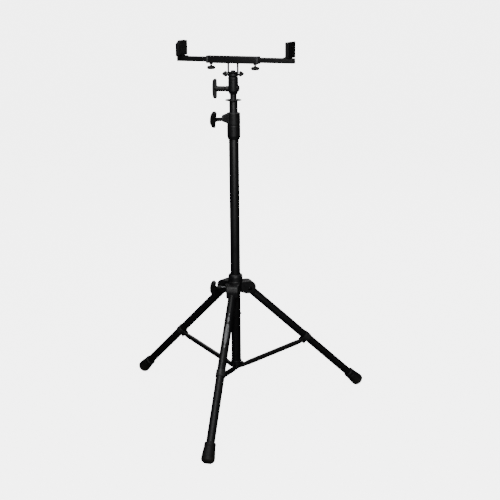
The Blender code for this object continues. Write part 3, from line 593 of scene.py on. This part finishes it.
def wingKnob(length):
    boss = spun([(0, 22), (7, 22), (9.5, 17), (9.5, 6), (7.4, 2), (6.8, -3), (6.8, -13), (6.2, -16),
                 (0, -16)], 1.2, 48)
    outline = eased([(share * length / 2, height) for share, height in wingShape], 2.5)
    wings = moved(slab([outline], 18, 3.0, 5), turn(90, "X"))
    return fused(boss, [wings], [dowel(4.1, -17, 9.3)], 0.6, 8)


def placeKnob(name, joint, roll, body, length, reach, tip, nodes):
    place = axesAt(jointPoint(joint), Vector((0, 0, 1)).cross(jointAxis(joint)), jointAxis(joint))
    place = place @ roll
    knob = moved(wingKnob(length), nudge(z=reach))
    settle(knob, name, place, body, nylon, "black_plastic", nodes[0], crease=60)
    settle(thread(zinc, 3.35, tip, reach + 9), name + "Stud", place, body, zinc, "steel", nodes[1])
    cap = spun([(0, 1.1), (3.2, 0.9), (4.4, 0.3), (4.4, -0.6), (0, -0.6)], 0.3, 40)
    settle(moved(cap, nudge(z=reach + 25)), name + "Cap", place, body, blackSteel, "dark_steel")


print("mast done")
placeKnob("collarKnob", "collar_knob_turn", turn(70, "Z"), "collar_knob", mast["collarKnobLength"],
          mast["collarKnobReach"], mast["innerRadius"] + 0.4, ("collar_knob", "collar_screw"))


# Sliding hub with its three forked arms

hub = {"radius": 26, "bore": 20.1, "pinReach": 47.3, "pinSpan": 43.4, "pinRadius": 3.95,
       "washerOut": 21.25, "armWide": 42, "knobUp": 9, "knobReach": 70, "knobLength": 58,
       "pocket": 20.3, "legRadius": 14.75, "foldedTilt": 6}


def legPocket(clear):               # room for the leg from folded to open, as a (reach, height) outline
    pin, swing, folded = hub["pinReach"], hub["pocket"], hub["foldedTilt"]
    halfWay = (legTilt - folded) / 2
    corner = folded + math.degrees(math.acos(clear / swing))
    outline = [(pin - swing, -40)] + arc(pin, 0, swing, 180, corner, 20)
    knee = arc(pin, 0, clear / math.cos(math.radians(halfWay)), folded + halfWay, folded + halfWay, 1)[0]
    out = (knee[0] + 60 * math.sin(math.radians(legTilt)), knee[1] - 60 * math.cos(math.radians(legTilt)))
    return outline + [knee, out, (out[0], -60), (pin - swing, -60)]


def makeHub():
    pin = hub["pinReach"]
    r = hub["radius"]
    body = spun([(0, 56), (19.8, 56), (20.8, 55.4), (24.5, 52), (r, 46), (r, 33), (r - 0.6, 32.4),
                 (r - 0.6, 31), (r, 30.4), (r, -11), (0, -11)], 0.6, 96)
    outline = [(12, 28), (12, -10.5), (34, -19), (62, -20)]
    outline += arc(62, -11, 9, -90, 0, 8)[1:] + arc(pin, 3, 24.5, 0, 90, 18)
    arms, pockets, holes = [], [], []
    wide = hub["legRadius"] + 0.45
    for angle in sideAngle.values():
        place = turn(angle, "Z") @ standing
        arms.append(moved(slab([outline], hub["armWide"], 2.2, 4), place))
        pockets.append(moved(slab([legPocket(hub["legRadius"] + 0.5)], 2 * wide, 0.01, 0), place))
        across = turn(angle, "Z") @ nudge(0, -pin, 0) @ alongX
        holes.append(moved(dowel(4.3, -30, 30), across))
    boss = turn(knobAngle, "Z") @ nudge(z=hub["knobUp"]) @ outwards
    arms.append(moved(spun([(0, 40), (9.4, 40), (11, 38.4), (11, 18), (0, 18)], 0.8, 64), boss))
    holes.append(moved(dowel(4.3, 10, 50), boss))
    holes.append(dowel(hub["bore"], -30, 80, 96))
    return fused(body, arms, pockets + holes, 0.95, 5)


settle(makeHub(), "hubCasting", hubAxis, "hub", castCoat, "black_cast", "hub", crease=50)
hubLiner = spun([(19.8, 54), (19.8, -10), (17.85, -10), (17.85, 54)], 0.4, 80)
settle(hubLiner, "hubLiner", hubAxis, "hub", liner, "grey_plastic", "hub_bush")
pins = []
for angle in sideAngle.values():
    across = turn(angle, "Z") @ nudge(0, -hub["pinReach"], 0) @ alongX
    pins.append(moved(rivet(hub["pinSpan"], 6.2, 2.3, hub["pinRadius"]), across))
    for low in (-hub["washerOut"] - 0.85, hub["washerOut"]):
        washer = spun([(0, 0.8), (7, 0.8), (7, 0.05), (0, 0.05)], 0.2, 48)
        pins.append(moved(washer, across @ nudge(z=low)))
settle(together(pins), "legPins", hubAxis, "hub", blackSteel, "dark_steel",
       "leg_pin_front", "leg_pin_right", "leg_pin_left")
placeKnob("hubKnob", "hub_knob_turn", turn(78, "Z"), "hub_knob", hub["knobLength"], hub["knobReach"],
          mast["radius"] + 0.4, ("hub_knob", "hub_screw"))
print("hub done")


# Legs, their rubber boots, the saddle clamps and the folded-channel braces

leg = {"radius": 14.75, "wall": 1.75, "head": 13, "tube": 623, "foot": 629, "saddleDown": 316,
       "saddleDrop": 22, "saddleLong": 24}
boot = [(16.0, 68), (16.6, 67.4), (18.9, 66.2), (19.5, 64.6), (19.55, 55), (19.0, 54.2), (19.0, 52.8),
        (19.6, 52), (20.2, 45), (21.4, 34), (22.6, 22), (22.95, 17), (22.3, 16.2), (22.3, 14.8), (23.0, 14),
        (22.8, 10), (20.5, 5), (15.5, 0.8), (9.0, 0)]               # radius, height above the leg's end
stripe = {"angle": -83, "lift": 0.12, "steps": 8, "fan": 2.6,       # fan: degrees to a unit of half width
          "marks": [(92, 3, 10), (106, 6, 24), (134, 10, 92)]}      # start, half width, length
brace = {"endRadius": 5.9, "deep": 16.5, "wide": 9.8, "taper": 22, "hole": 2.8, "wall": 1.6}


def makeBoot():
    outside = [(radius, back - leg["foot"]) for radius, back in boot]
    socket = [(0, -leg["tube"] - 0.3), (leg["radius"] + 0.3, -leg["tube"] - 0.3),
              (leg["radius"] + 0.3, outside[0][1])]
    body = spun(socket + outside + [(0, -leg["foot"])], 0.5, 80)
    floor = bar((-200, -200, -100), (200, 200, 0), 0)
    lean = turn(legTilt, "X") @ nudge(0, -leg["foot"] * math.sin(math.radians(legTilt)), -pinHeight)
    return fused(body, (), [moved(floor, lean)])


def makeSaddle():
    gap = 5.4
    ear = gap + 3
    wide = leg["radius"] + 0.3
    band = wide + 2
    drop = leg["saddleDrop"] + 5.5
    openAngle = math.degrees(math.asin(gap / wide))
    earAngle = math.degrees(math.asin(ear / band))
    outline = [(ear, drop)] + arc(0, 0, band, 90 - earAngle, earAngle - 270, 48)
    outline += [(-ear, drop), (-gap, drop)]
    outline += arc(0, 0, wide, 90 + openAngle, 450 - openAngle, 48) + [(gap, drop)]
    body = moved(slab([outline], leg["saddleLong"], 0.5), nudge(z=-leg["saddleDown"]))
    corners = []
    for sign, lean in ((-1, -135), (1, 45)):        # the ears' free corners are cut at 45 degrees
        height = sign * leg["saddleLong"] / 2 - leg["saddleDown"]
        corners.append(moved(bar((-20, 0, 0), (20, 20, 20), 0), nudge(0, 18, height) @ turn(lean, "X")))
    hole = moved(dowel(2.8, -20, 20, 32), nudge(0, leg["saddleDrop"], -leg["saddleDown"]) @ alongX)
    body = fused(body, (), corners + [hole])
    soft = body.modifiers.new("soft", "BEVEL")
    soft.width = 0.4
    soft.segments = 2
    soft.limit_method = "ANGLE"
    return fixed(body)


def makePrint():                    # plain broken stripe laid on the tube's curve
    shape = bmesh.new()
    radius = leg["radius"] + stripe["lift"]
    steps = stripe["steps"]
    for start, half, length in stripe["marks"]:
        rows = []
        for k in range(25):
            t = k / 24
            taper = math.sin(math.pi * (t + 0.12 if t < 0.88 else t)) ** 0.5        # blunt start, pointed end
            spread = half * stripe["fan"] * max(taper, 0.02)
            row = []
            for j in range(steps + 1):
                angle = math.radians(stripe["angle"] + spread * (j / steps - 0.5) * 2)
                row.append(shape.verts.new((radius * math.cos(angle), radius * math.sin(angle),
                                            -start - length * t)))
            rows.append(row)
        for near, far in zip(rows, rows[1:]):
            for j in range(steps):
                shape.faces.new((near[j], far[j], far[j + 1], near[j + 1]))
    bmesh.ops.recalc_face_normals(shape, faces=shape.faces)
    return formed(shape)


def makeBrace(length):
    end, wide, hole, taper = (brace[key] for key in ("endRadius", "wide", "hole", "taper"))
    half = brace["deep"] / 2
    outline = arc(0, 0, end, 20, 160, 16) + [(-half, -taper), (-half, taper - length)]
    outline += arc(0, -length, end, 200, 340, 16) + [(half, taper - length), (half, -taper)]
    holes = [arc(0, 0, hole, 0, 345, 23), arc(0, -length, hole, 0, 345, 23)]
    body = moved(slab([eased(outline, 6.0), *holes], wide, 0.9, 3), squareToX)
    hollow = wide / 2 - brace["wall"]
    return fused(body, (), [bar((-hollow, -20, -length - 20), (hollow, end - 2.1, 20), 0.8)])


for side in sideAngle:
    pin = jointPoint(f"leg_{side}_fold")
    across = jointAxis(f"leg_{side}_fold")
    along = Matrix.Rotation(math.radians(-legTilt), 3, across) @ Vector((0, 0, 1))
    place = axesAt(pin, across, along)
    body = "leg_" + side
    called = side.capitalize()
    coat = surface("powderCoatLeg" + called, powderCoat, place)
    settle(section(coat, leg["radius"] * 2, leg["wall"], -leg["tube"], leg["head"]), "legTube" + called,
           place, body, coat, "black_tube", "leg_tube_" + side)
    plug = spun([(0, 15.2), (5, 15.1), (5.6, 14.6), (6.6, 14.6), (7.2, 15), (9, 14.8), (12.7, 12.6),
                 (12.7, -14), (0, -14)], 0.4, 64)
    settle(plug, "legPlug" + called, place, body, nylon, "black_plastic", "leg_plug_" + side)
    settle(makeBoot(), "rubberBoot" + called, place, body, rubber, "rubber", "foot_" + side)
    settle(makeSaddle(), "saddle" + called, place, body, castCoat, "black_cast", "saddle_" + side)
    saddlePin = moved(rivet(18.4, 4.3, 1.7, 2.45), nudge(0, leg["saddleDrop"], -leg["saddleDown"]) @ alongX)
    settle(saddlePin, "saddlePin" + called, place, body, blackSteel, "dark_steel", "saddle_pin_" + side)

    outer = jointPoint(f"brace_{side}_fold")
    eye = Vector((0, -bracket["reach"] * mm, bracket["height"] * mm))
    inner = mastAxis @ (turn(sideAngle[side], "Z") @ eye)
    bracePlace = axesAt(outer, across, outer - inner)
    length = (outer - inner).length / mm
    braceCoat = surface("powderCoatBrace" + called, powderCoat, bracePlace)
    settle(makeBrace(length), "brace" + called, bracePlace, "brace_" + side, braceCoat, "black_tube",
           "brace_" + side)
    if side == "front":
        settle(makePrint(), "plainStripe", place, body, surface("silverPrint", silverPrint, place), "steel")
print("legs done")


# Extending tube, post and flange disc

upper = {"foot": 520, "radius": 14.75, "wall": 1.75, "plug": 12.7, "guide": 15.2, "disc": 1116.5,
         "discRadius": 28, "postRadius": 11.5, "postHead": 1176, "adapterFoot": 1137, "adapterHead": 1196}
disc, rim, inner = upper["disc"], upper["discRadius"], upper["radius"]
tubeTop = disc - 3.5
settle(section(tubeCoat, inner * 2, upper["wall"], upper["foot"], tubeTop - 0.5), "innerTube", mastAxis,
       "inner_mast", tubeCoat, "black_tube", "inner_tube")
pole, plug, tip = upper["postRadius"], upper["plug"], upper["postHead"]
post = spun([(0, tip), (pole - 1, tip), (pole, tip - 1), (pole, disc + 5), (12.6, disc + 3.4),
             (rim - 1.2, disc + 3), (rim, disc + 2), (rim, disc + 0.5), (rim - 1.2, disc - 0.6),
             (inner + 4, disc - 1.5), (inner, disc - 3), (inner, tubeTop), (plug, tubeTop),
             (plug, tubeTop - 32), (0, tubeTop - 32)], 0.5, 96)
settle(post, "postAndFlange", mastAxis, "inner_mast", castCoat, "black_cast", "post")
wide, foot = upper["guide"], upper["foot"]
guide = spun([(0, foot + 26), (plug, foot + 26), (plug, foot - 0.3), (wide, foot - 0.3), (wide, foot - 8),
              (wide - 0.6, foot - 9), (wide - 0.6, foot - 12), (wide, foot - 13), (wide, foot - 30),
              (0, foot - 30)], 0.5, 64)
settle(guide, "tubeGuide", mastAxis, "inner_mast", liner, "grey_plastic", "inner_guide")


# Adapter sleeve with its T knob, swivel bolt and winged lock nut

adapter = {"radius": 17.5, "bore": 11.8, "hole": 4.3, "knobHeight": 1155.5, "nutLow": 1196.3,
           "nutHigh": 1209.2, "boltFoot": 1179.5, "boltHead": 1212.8}


def makeAdapter():
    foot, head = upper["adapterFoot"], upper["adapterHead"]
    r, bore, hole = adapter["radius"], adapter["bore"], adapter["hole"]
    body = spun([(hole, head), (r - 1, head), (r, head - 1), (r, head - 9), (r - 0.6, head - 9.8),
                 (r - 0.6, head - 11.4), (r, head - 12.2), (r, foot + 12), (15.6, foot + 6), (13.2, foot),
                 (bore, foot), (bore, head - 17), (hole, head - 17)], 0.5, 96)
    side = nudge(z=adapter["knobHeight"]) @ turn(-90, "Z") @ outwards
    boss = moved(spun([(0, 27), (8.8, 27), (10, 25.8), (10, 14), (0, 14)], 0.6, 64), side)
    back = spun([(0, 21.5), (8, 21.5), (13, 15), (0, 15)], 1.5, 64)
    moved(back, nudge(z=adapter["knobHeight"] + 2) @ turn(90, "Z") @ outwards)
    return fused(body, [boss, back], [moved(dowel(hole, 5, 40), side)], 0.6, 5)


settle(makeAdapter(), "adapterSleeve", mastAxis, "adapter", castCoat, "black_cast", "adapter_sleeve",
       crease=50)
top, foot = adapter["boltHead"], adapter["boltFoot"]
bolt = together([thread(blackSteel, 3.6, foot, top + 1),
                 spun([(0, top + 0.9), (8.8, top + 0.9), (8.8, top), (0, top)], 0.2, 48),
                 spun([(0, top + 5.3), (6.4, top + 5.3), (8.2, top + 4.5), (8.2, top + 0.8), (0, top + 0.8)],
                      0.3, 6)])
settle(bolt, "swivelBolt", mastAxis, "adapter", blackSteel, "steel", "swivel_bolt")


tee = {"length": 68, "thick": 14,
       "shape": [(-1, 60), (-1, 66), (-0.85, 71), (-0.4, 72.6), (0, 73), (0.4, 72.6), (0.85, 71), (1, 66),
                 (1, 60), (0.85, 57.5), (0.4, 57), (0, 57), (-0.4, 57), (-0.85, 57.5)]}


def makeTeeKnob():
    neck = spun([(0, 66), (6, 66), (9.8, 60), (9.5, 54), (9.4, 50), (9.4, 30), (8.6, 28), (0, 28)], 1.2, 64)
    shape = eased([(share * tee["length"] / 2, height) for share, height in tee["shape"]], 3.0)
    handle = moved(slab([shape], tee["thick"], 3.4, 5), turn(90, "X"))
    return fused(neck, [handle], [dowel(4.1, 20, 57.3)], 0.6, 8)


teeAxis = jointAxis("adapter_knob_turn")
teePlace = axesAt(jointPoint("adapter_knob_turn"), Vector((0, 0, 1)).cross(teeAxis), teeAxis) @ turn(90, "Z")
settle(makeTeeKnob(), "teeKnob", teePlace, "adapter_knob", nylon, "black_plastic", "adapter_knob",
       crease=60)
settle(thread(zinc, 3.35, 11.9, 57), "teeKnobStud", teePlace, "adapter_knob", zinc, "steel", "adapter_screw")


def makeWingNut():
    low, high = adapter["nutLow"], adapter["nutHigh"]
    body = spun([(4.3, high), (15, high), (18, high - 3), (18, low + 3), (15, low), (4.3, low)], 0.9, 80)
    half = [(12, 2), (21.4, 2), (22.3, 8.5), (26, 10), (35, 4.5), (38.5, 0), (35, -4.5), (26, -10),
            (21.5, -8.5), (20.3, -6), (12, -6)]
    eye = [(25.5, 1.5), (27, 1.8), (29.5, 0.8), (29.5, -0.8), (27, -1.8), (25.5, -1.5)]
    wings = []
    for sign in (-1, 1):
        outer = eased([(sign * x, y) for x, y in half], 1.6)
        inner = eased([(sign * x, y) for x, y in eye], 0.5)
        wings.append(moved(slab([outer, inner], 7, 1.4, 4), nudge(z=high - 3) @ turn(90, "X")))
        web = bar((25, -0.5, high - 5.5), (30, 0.5, high - 0.5), 0.2)        # thin skin left across the eye
        wings.append(moved(web, turn(90 - 90 * sign, "Z")))
    return fused(body, wings, (), 0.6, 4)


settle(makeWingNut(), "wingNut", mastAxis, "wing_nut", castCoat, "black_cast", "wing_nut", crease=50)
print("adapter done")


# Swivelling head: stirrup, square sleeve, bushes, thumbscrews

head = {"web": 1209.5, "webThick": 3.0, "webRadius": 20.8, "rodRadius": 3.4, "rodOut": 17.3,
        "sleeveFoot": 1241.0, "sleeveSide": 25.0, "sleeveWall": 1.55, "sleeveHalf": 87.0, "barSide": 17.5,
        "barWall": 1.6, "screwOut": 81.0}
barAxis = jointAxis("arm_right_slide")
headAxis = axesAt(mastAxis.translation, barAxis, (0, 0, 1))
middle = head["sleeveFoot"] + head["sleeveSide"] / 2
web, webTop, rim = head["web"], head["web"] + head["webThick"], head["webRadius"]
rod, rodTop = head["rodRadius"], head["sleeveFoot"] - 0.3

rods = [spun([(4.3, webTop), (rim - 0.8, webTop), (rim, webTop - 0.8), (rim, web + 0.8), (rim - 0.8, web),
              (4.3, web)], 0.2, 80)]
for sign in (-1, 1):            # each rod has a weld bead at both ends
    out = nudge(sign * head["rodOut"])
    rods.append(moved(dowel(rod, web + 1, rodTop, 32), out))
    lower = [(rod - 0.2, webTop + 1.3), (rod + 0.3, webTop + 0.9), (rod + 0.5, webTop - 0.2),
             (rod - 0.2, webTop - 0.2)]
    rods.append(moved(spun(lower, 0.1, 32), out))
    higher = [(rod - 0.2, rodTop), (rod + 1, rodTop), (rod + 0.5, rodTop - 1.1), (rod - 0.2, rodTop - 1.7)]
    rods.append(moved(spun(higher, 0.1, 32), out))
settle(together(rods), "swivelStirrup", headAxis, "head", blackSteel, "dark_steel", "swivel_stirrup")


def makeSleeve():
    half = head["sleeveHalf"]
    tube = section(sleeveCoat, head["sleeveSide"], head["sleeveWall"], -half, half, True, 2.4, 0.5)
    holes = []
    for sign in (-1, 1):
        holes.append(moved(dowel(3.3, -5, 6, 32), nudge(sign * head["screwOut"], 0, head["sleeveFoot"])))
    return fused(moved(tube, nudge(z=middle) @ alongX), (), holes)


sleeveCoat = surface("powderCoatSleeve", dict(powderCoat, dark="#161617", light="#202022",
                                              rough=(0.34, 0.46)), headAxis @ alongX)
settle(makeSleeve(), "crossbarSleeve", headAxis, "head", sleeveCoat, "black_tube", "crossbar_sleeve")


def makeEndBush():
    flange = head["sleeveSide"] / 2 + 0.5
    low = head["sleeveHalf"] + 0.3
    outside = bar((low, -flange, -flange), (low + 8, flange, flange), 2.2, 4)
    plug = bar((low - 0.5, -10.6, -10.6), (low + 2, 10.6, 10.6), 0.3)
    slot = head["barSide"] / 2 + 0.3
    groove = bar((low + 2.6, -40, -40), (low + 3.4, 40, 40), 0)
    core = bar((low + 2, -flange + 0.5, -flange + 0.5), (low + 4, flange - 0.5, flange - 0.5), 1.9, 3)
    grooved = fused(outside, (), [groove])
    return fused(grooved, [core, plug], [bar((0, -slot, -slot), (200, slot, slot), 1.3)])


def makeThumb():                    # moulded disc with a fluted rim
    disc = spun([(0, -6), (4, -6), (4, -9), (10.6, -10), (14.1, -12.4), (14.6, -13.6), (14.6, -17),
                 (14.1, -18.2), (10.6, -21), (7, -21.5), (6.4, -20.9), (0, -20.9)], 0.5, 96)
    flutes = []
    for k in range(18):
        angle = math.radians(20 * k)
        place = nudge(15.2 * math.cos(angle), 15.2 * math.sin(angle))
        flutes.append(moved(dowel(1.2, -24, -8, 12), place))
    return fused(disc, (), flutes, 0.4, 3)


arms = {"left": 207.0, "right": 221.0, "inset": 9.0, "innerEnd": 30.0, "cap": 4.0, "depth": 70.0,
        "padTop": 1316.0, "padThick": 10.0, "ribs": 9, "corner": {"left": (12, 20), "right": (3, 3)}}


def makeUpright(end, down, along):
    base = head["barSide"] / 2 + 0.3
    top = arms["padTop"] - middle
    deep = arms["depth"] / 2
    outline = [(-deep, base + 1.5), (2 - deep, base), (deep - 2, base), (deep, base + 1.5),
               (deep, top - down), (deep - along, top), (3 - deep, top), (-deep, top - 3)]
    outer = end - arms["inset"]
    plate = moved(slab([eased(outline, 1.0)], 3, 0.5), squareToX @ nudge(z=outer - 1.5))
    foot = bar((outer - 28, -9, base + 0.05), (outer - 2, 9, base + 2.5), 0.5)
    swages = []
    for sign in (-1, 1):            # two pressed ribs stiffen the outer face
        swage = spun([(0, top - 11), (1.2, top - 11.6), (2.2, top - 13.5), (2.2, base + 7.5),
                      (1.2, base + 5.6), (0, base + 5)], 0.4, 24)
        swages.append(moved(swage, nudge(outer - 0.9, sign * 13.5, 0)))
    screwHeads = []
    for height in (base + 12, top - 16):
        cup = spun([(0, 1.5), (1.6, 1.5), (1.9, 0.7), (3.2, 0.7), (4.2, -0.4), (0, -0.4)], 0.25, 32)
        screwHeads.append(moved(cup, nudge(outer, 0, height) @ alongX))
    return fused(plate, [foot, *swages], (), 0.5, 3), screwHeads


def makePad(end, down, along):
    base = head["barSide"] / 2 + 0.3
    low = base + 2.8
    top = arms["padTop"] - middle
    edge = arms["depth"] / 2 - 1.5
    outline = [(-edge, low), (edge, low), (edge, top - down - 0.5), (edge - along + 0.5, top - 1),
               (2 - edge, top - 1), (-edge, top - 3)]
    thick = arms["padThick"]
    inner = end - arms["inset"] - 3.3 - thick
    block = slab([eased(outline, 1.2)], thick - 0.8, 1.2, 4)
    moved(block, squareToX @ nudge(z=inner + 0.4 + thick / 2))
    ribs = grown(ribTree, foam, {"Count": arms["ribs"], "Pitch": 6.4, "Height": float(top - low - 17),
                                 "Radius": 1.1})
    moved(ribs, nudge(inner + 1.1, 0, (low + top) / 2 - 4.2) @ turn(90, "Z"))
    return together([block, ribs])


for name, sign in (("left", -1), ("right", 1)):
    called = name.capitalize()
    out = headAxis @ turn(0 if sign > 0 else 180, "Z")
    level = out @ shift(z=middle)
    settle(makeEndBush(), "endBush" + called, level, "head", liner, "grey_plastic", "end_bush_" + name)
    under = out @ shift(head["screwOut"], 0, head["sleeveFoot"])
    nut = spun([(3.1, -0.3), (6.5, -0.3), (6.5, -3.9), (5.9, -4.5), (3.1, -4.5)], 0.2, 6)
    settle(nut, "screwNut" + called, under, "head", castCoat, "black_cast", "screw_nut_" + name)
    settle(makeThumb(), "thumbscrew" + called, under, "thumbscrew_" + name, nylon, "dark_steel",
           "thumbscrew_" + name, crease=60)
    settle(thread(zinc, 2.45, -8, 3.3, 1.25), "thumbscrewStud" + called, under, "thumbscrew_" + name, zinc,
           "dark_steel")

    end = arms[name]
    body = "arm_" + name
    barCoat = surface("powderCoatBar" + called, powderCoat, level @ alongX)
    tube = section(barCoat, head["barSide"], head["barWall"], arms["innerEnd"], end - arms["cap"], True,
                   1.4, 0.4)
    settle(moved(tube, alongX), "armBar" + called, level, body, barCoat, "black_tube", "arm_bar_" + name)
    cap = fused(bar((end - 3.7, -8.75, -8.75), (end, 8.75, 8.75), 1.1, 4),
                [bar((end - 18, -6.8, -6.8), (end - 1, 6.8, 6.8), 0.4)])
    settle(cap, "barCap" + called, level, body, nylon, "black_plastic", "bar_cap_" + name)
    upright, screwHeads = makeUpright(end, *arms["corner"][name])
    settle(upright, "upright" + called, level, body, castCoat, "black_cast", "upright_" + name, crease=50)
    settle(together(screwHeads), "padScrews" + called, level, body, blackSteel, "dark_steel")
    settle(makePad(end, *arms["corner"][name]), "pad" + called, level, body, foam, "rubber", "pad_" + name)
print("head done")


# Floor, lights and camera

room = {"floor": "#f4f4f3", "glow": 5.0, "sky": 0.18, "flat": 9, "bend": 3, "high": 14}
lamps = {"frontBox": (14, 20, 4.4, (3.2, 3.0), 100),        # azimuth, elevation, distance, size, watts
         "topBox": (-20, 66, 3.4, (2.0, 2.0), 40),
         "rearBox": (172, 38, 4.2, (2.4, 2.0), 45)}


def makeFloor():                    # round floor that sweeps up into a wall all the way round
    flat, bend, high = room["flat"], room["bend"], room["high"]
    points = [(0, 0), (flat, 0)]
    points += [(flat + x, bend + z) for x, z in arc(0, 0, bend, -82, 0, 11)] + [(flat + bend, high)]
    shape = bmesh.new()
    line = [shape.verts.new((x, 0, z)) for x, z in points]
    edges = [shape.edges.new(pair) for pair in zip(line, line[1:])]
    bmesh.ops.spin(shape, geom=line + edges, cent=(0, 0, 0), axis=(0, 0, 1), angle=math.tau, steps=96)
    bmesh.ops.remove_doubles(shape, verts=shape.verts, dist=0.001)
    floor = formed(shape)
    floor.name = "floor"
    floor.data.shade_smooth()
    material = bpy.data.materials.new("paleFloor")
    material.use_nodes = True
    shader = material.node_tree.nodes["Principled BSDF"]
    shader.inputs["Base Color"].default_value = hexColour(room["floor"])
    shader.inputs["Roughness"].default_value = 0.9
    shader.inputs["Emission Color"].default_value = (1, 1, 1, 1)
    shader.inputs["Emission Strength"].default_value = room["glow"]
    floor.data.materials.append(material)
    floor.visible_glossy = False
    floor.visible_diffuse = False


def softbox(name, azimuth, elevation, distance, size, power):
    data = bpy.data.lights.new(name, "AREA")
    data.shape = "RECTANGLE"
    data.size, data.size_y = size
    data.energy = power
    lamp = bpy.data.objects.new(name, data)
    a, e = math.radians(azimuth), math.radians(elevation)
    away = Vector((math.sin(a) * math.cos(e), -math.cos(a) * math.cos(e), math.sin(e)))
    lamp.location = Vector((0, 0.1, 0.7)) + away * distance     # each is aimed at the middle of the stand
    lamp.rotation_mode = "QUATERNION"
    lamp.rotation_quaternion = away.to_track_quat("Z", "Y")
    bpy.context.scene.collection.objects.link(lamp)


makeFloor()
for name, settings in lamps.items():
    softbox(name, *settings)

world = bpy.data.worlds.new("studio")
world.use_nodes = True
bpy.context.scene.world = world
world.node_tree.nodes["Background"].inputs["Strength"].default_value = room["sky"]

view = {"lens": 69.91, "turned": 11.2, "distance": 3.338, "height": 1.495, "pitch": 15.24, "pan": 0.91,
        "roll": 0.43}
pan, pitch, roll = (math.radians(view[k]) for k in ("pan", "pitch", "roll"))
aroundMast = Matrix.Rotation(math.radians(view["turned"]), 3, "Z")
ahead = aroundMast @ Vector((math.sin(pan) * math.cos(pitch), math.cos(pan) * math.cos(pitch),
                             -math.sin(pitch)))
sideways = aroundMast @ Vector((math.cos(pan), -math.sin(pan), 0))
down = ahead.cross(sideways)
right = sideways * math.cos(roll) + down * math.sin(roll)
up = sideways * math.sin(roll) - down * math.cos(roll)
aimed = Matrix((right, up, -ahead)).transposed().to_4x4()
aimed.translation = aroundMast @ Vector((0, -view["distance"], view["height"])) + mastAxis.translation
lensData = bpy.data.cameras.new("camera")
lensData.lens = view["lens"]
lensData.sensor_width = 36
camera = bpy.data.objects.new("camera", lensData)
camera.matrix_world = aimed
bpy.context.scene.collection.objects.link(camera)
bpy.context.scene.camera = camera
print("stage done")
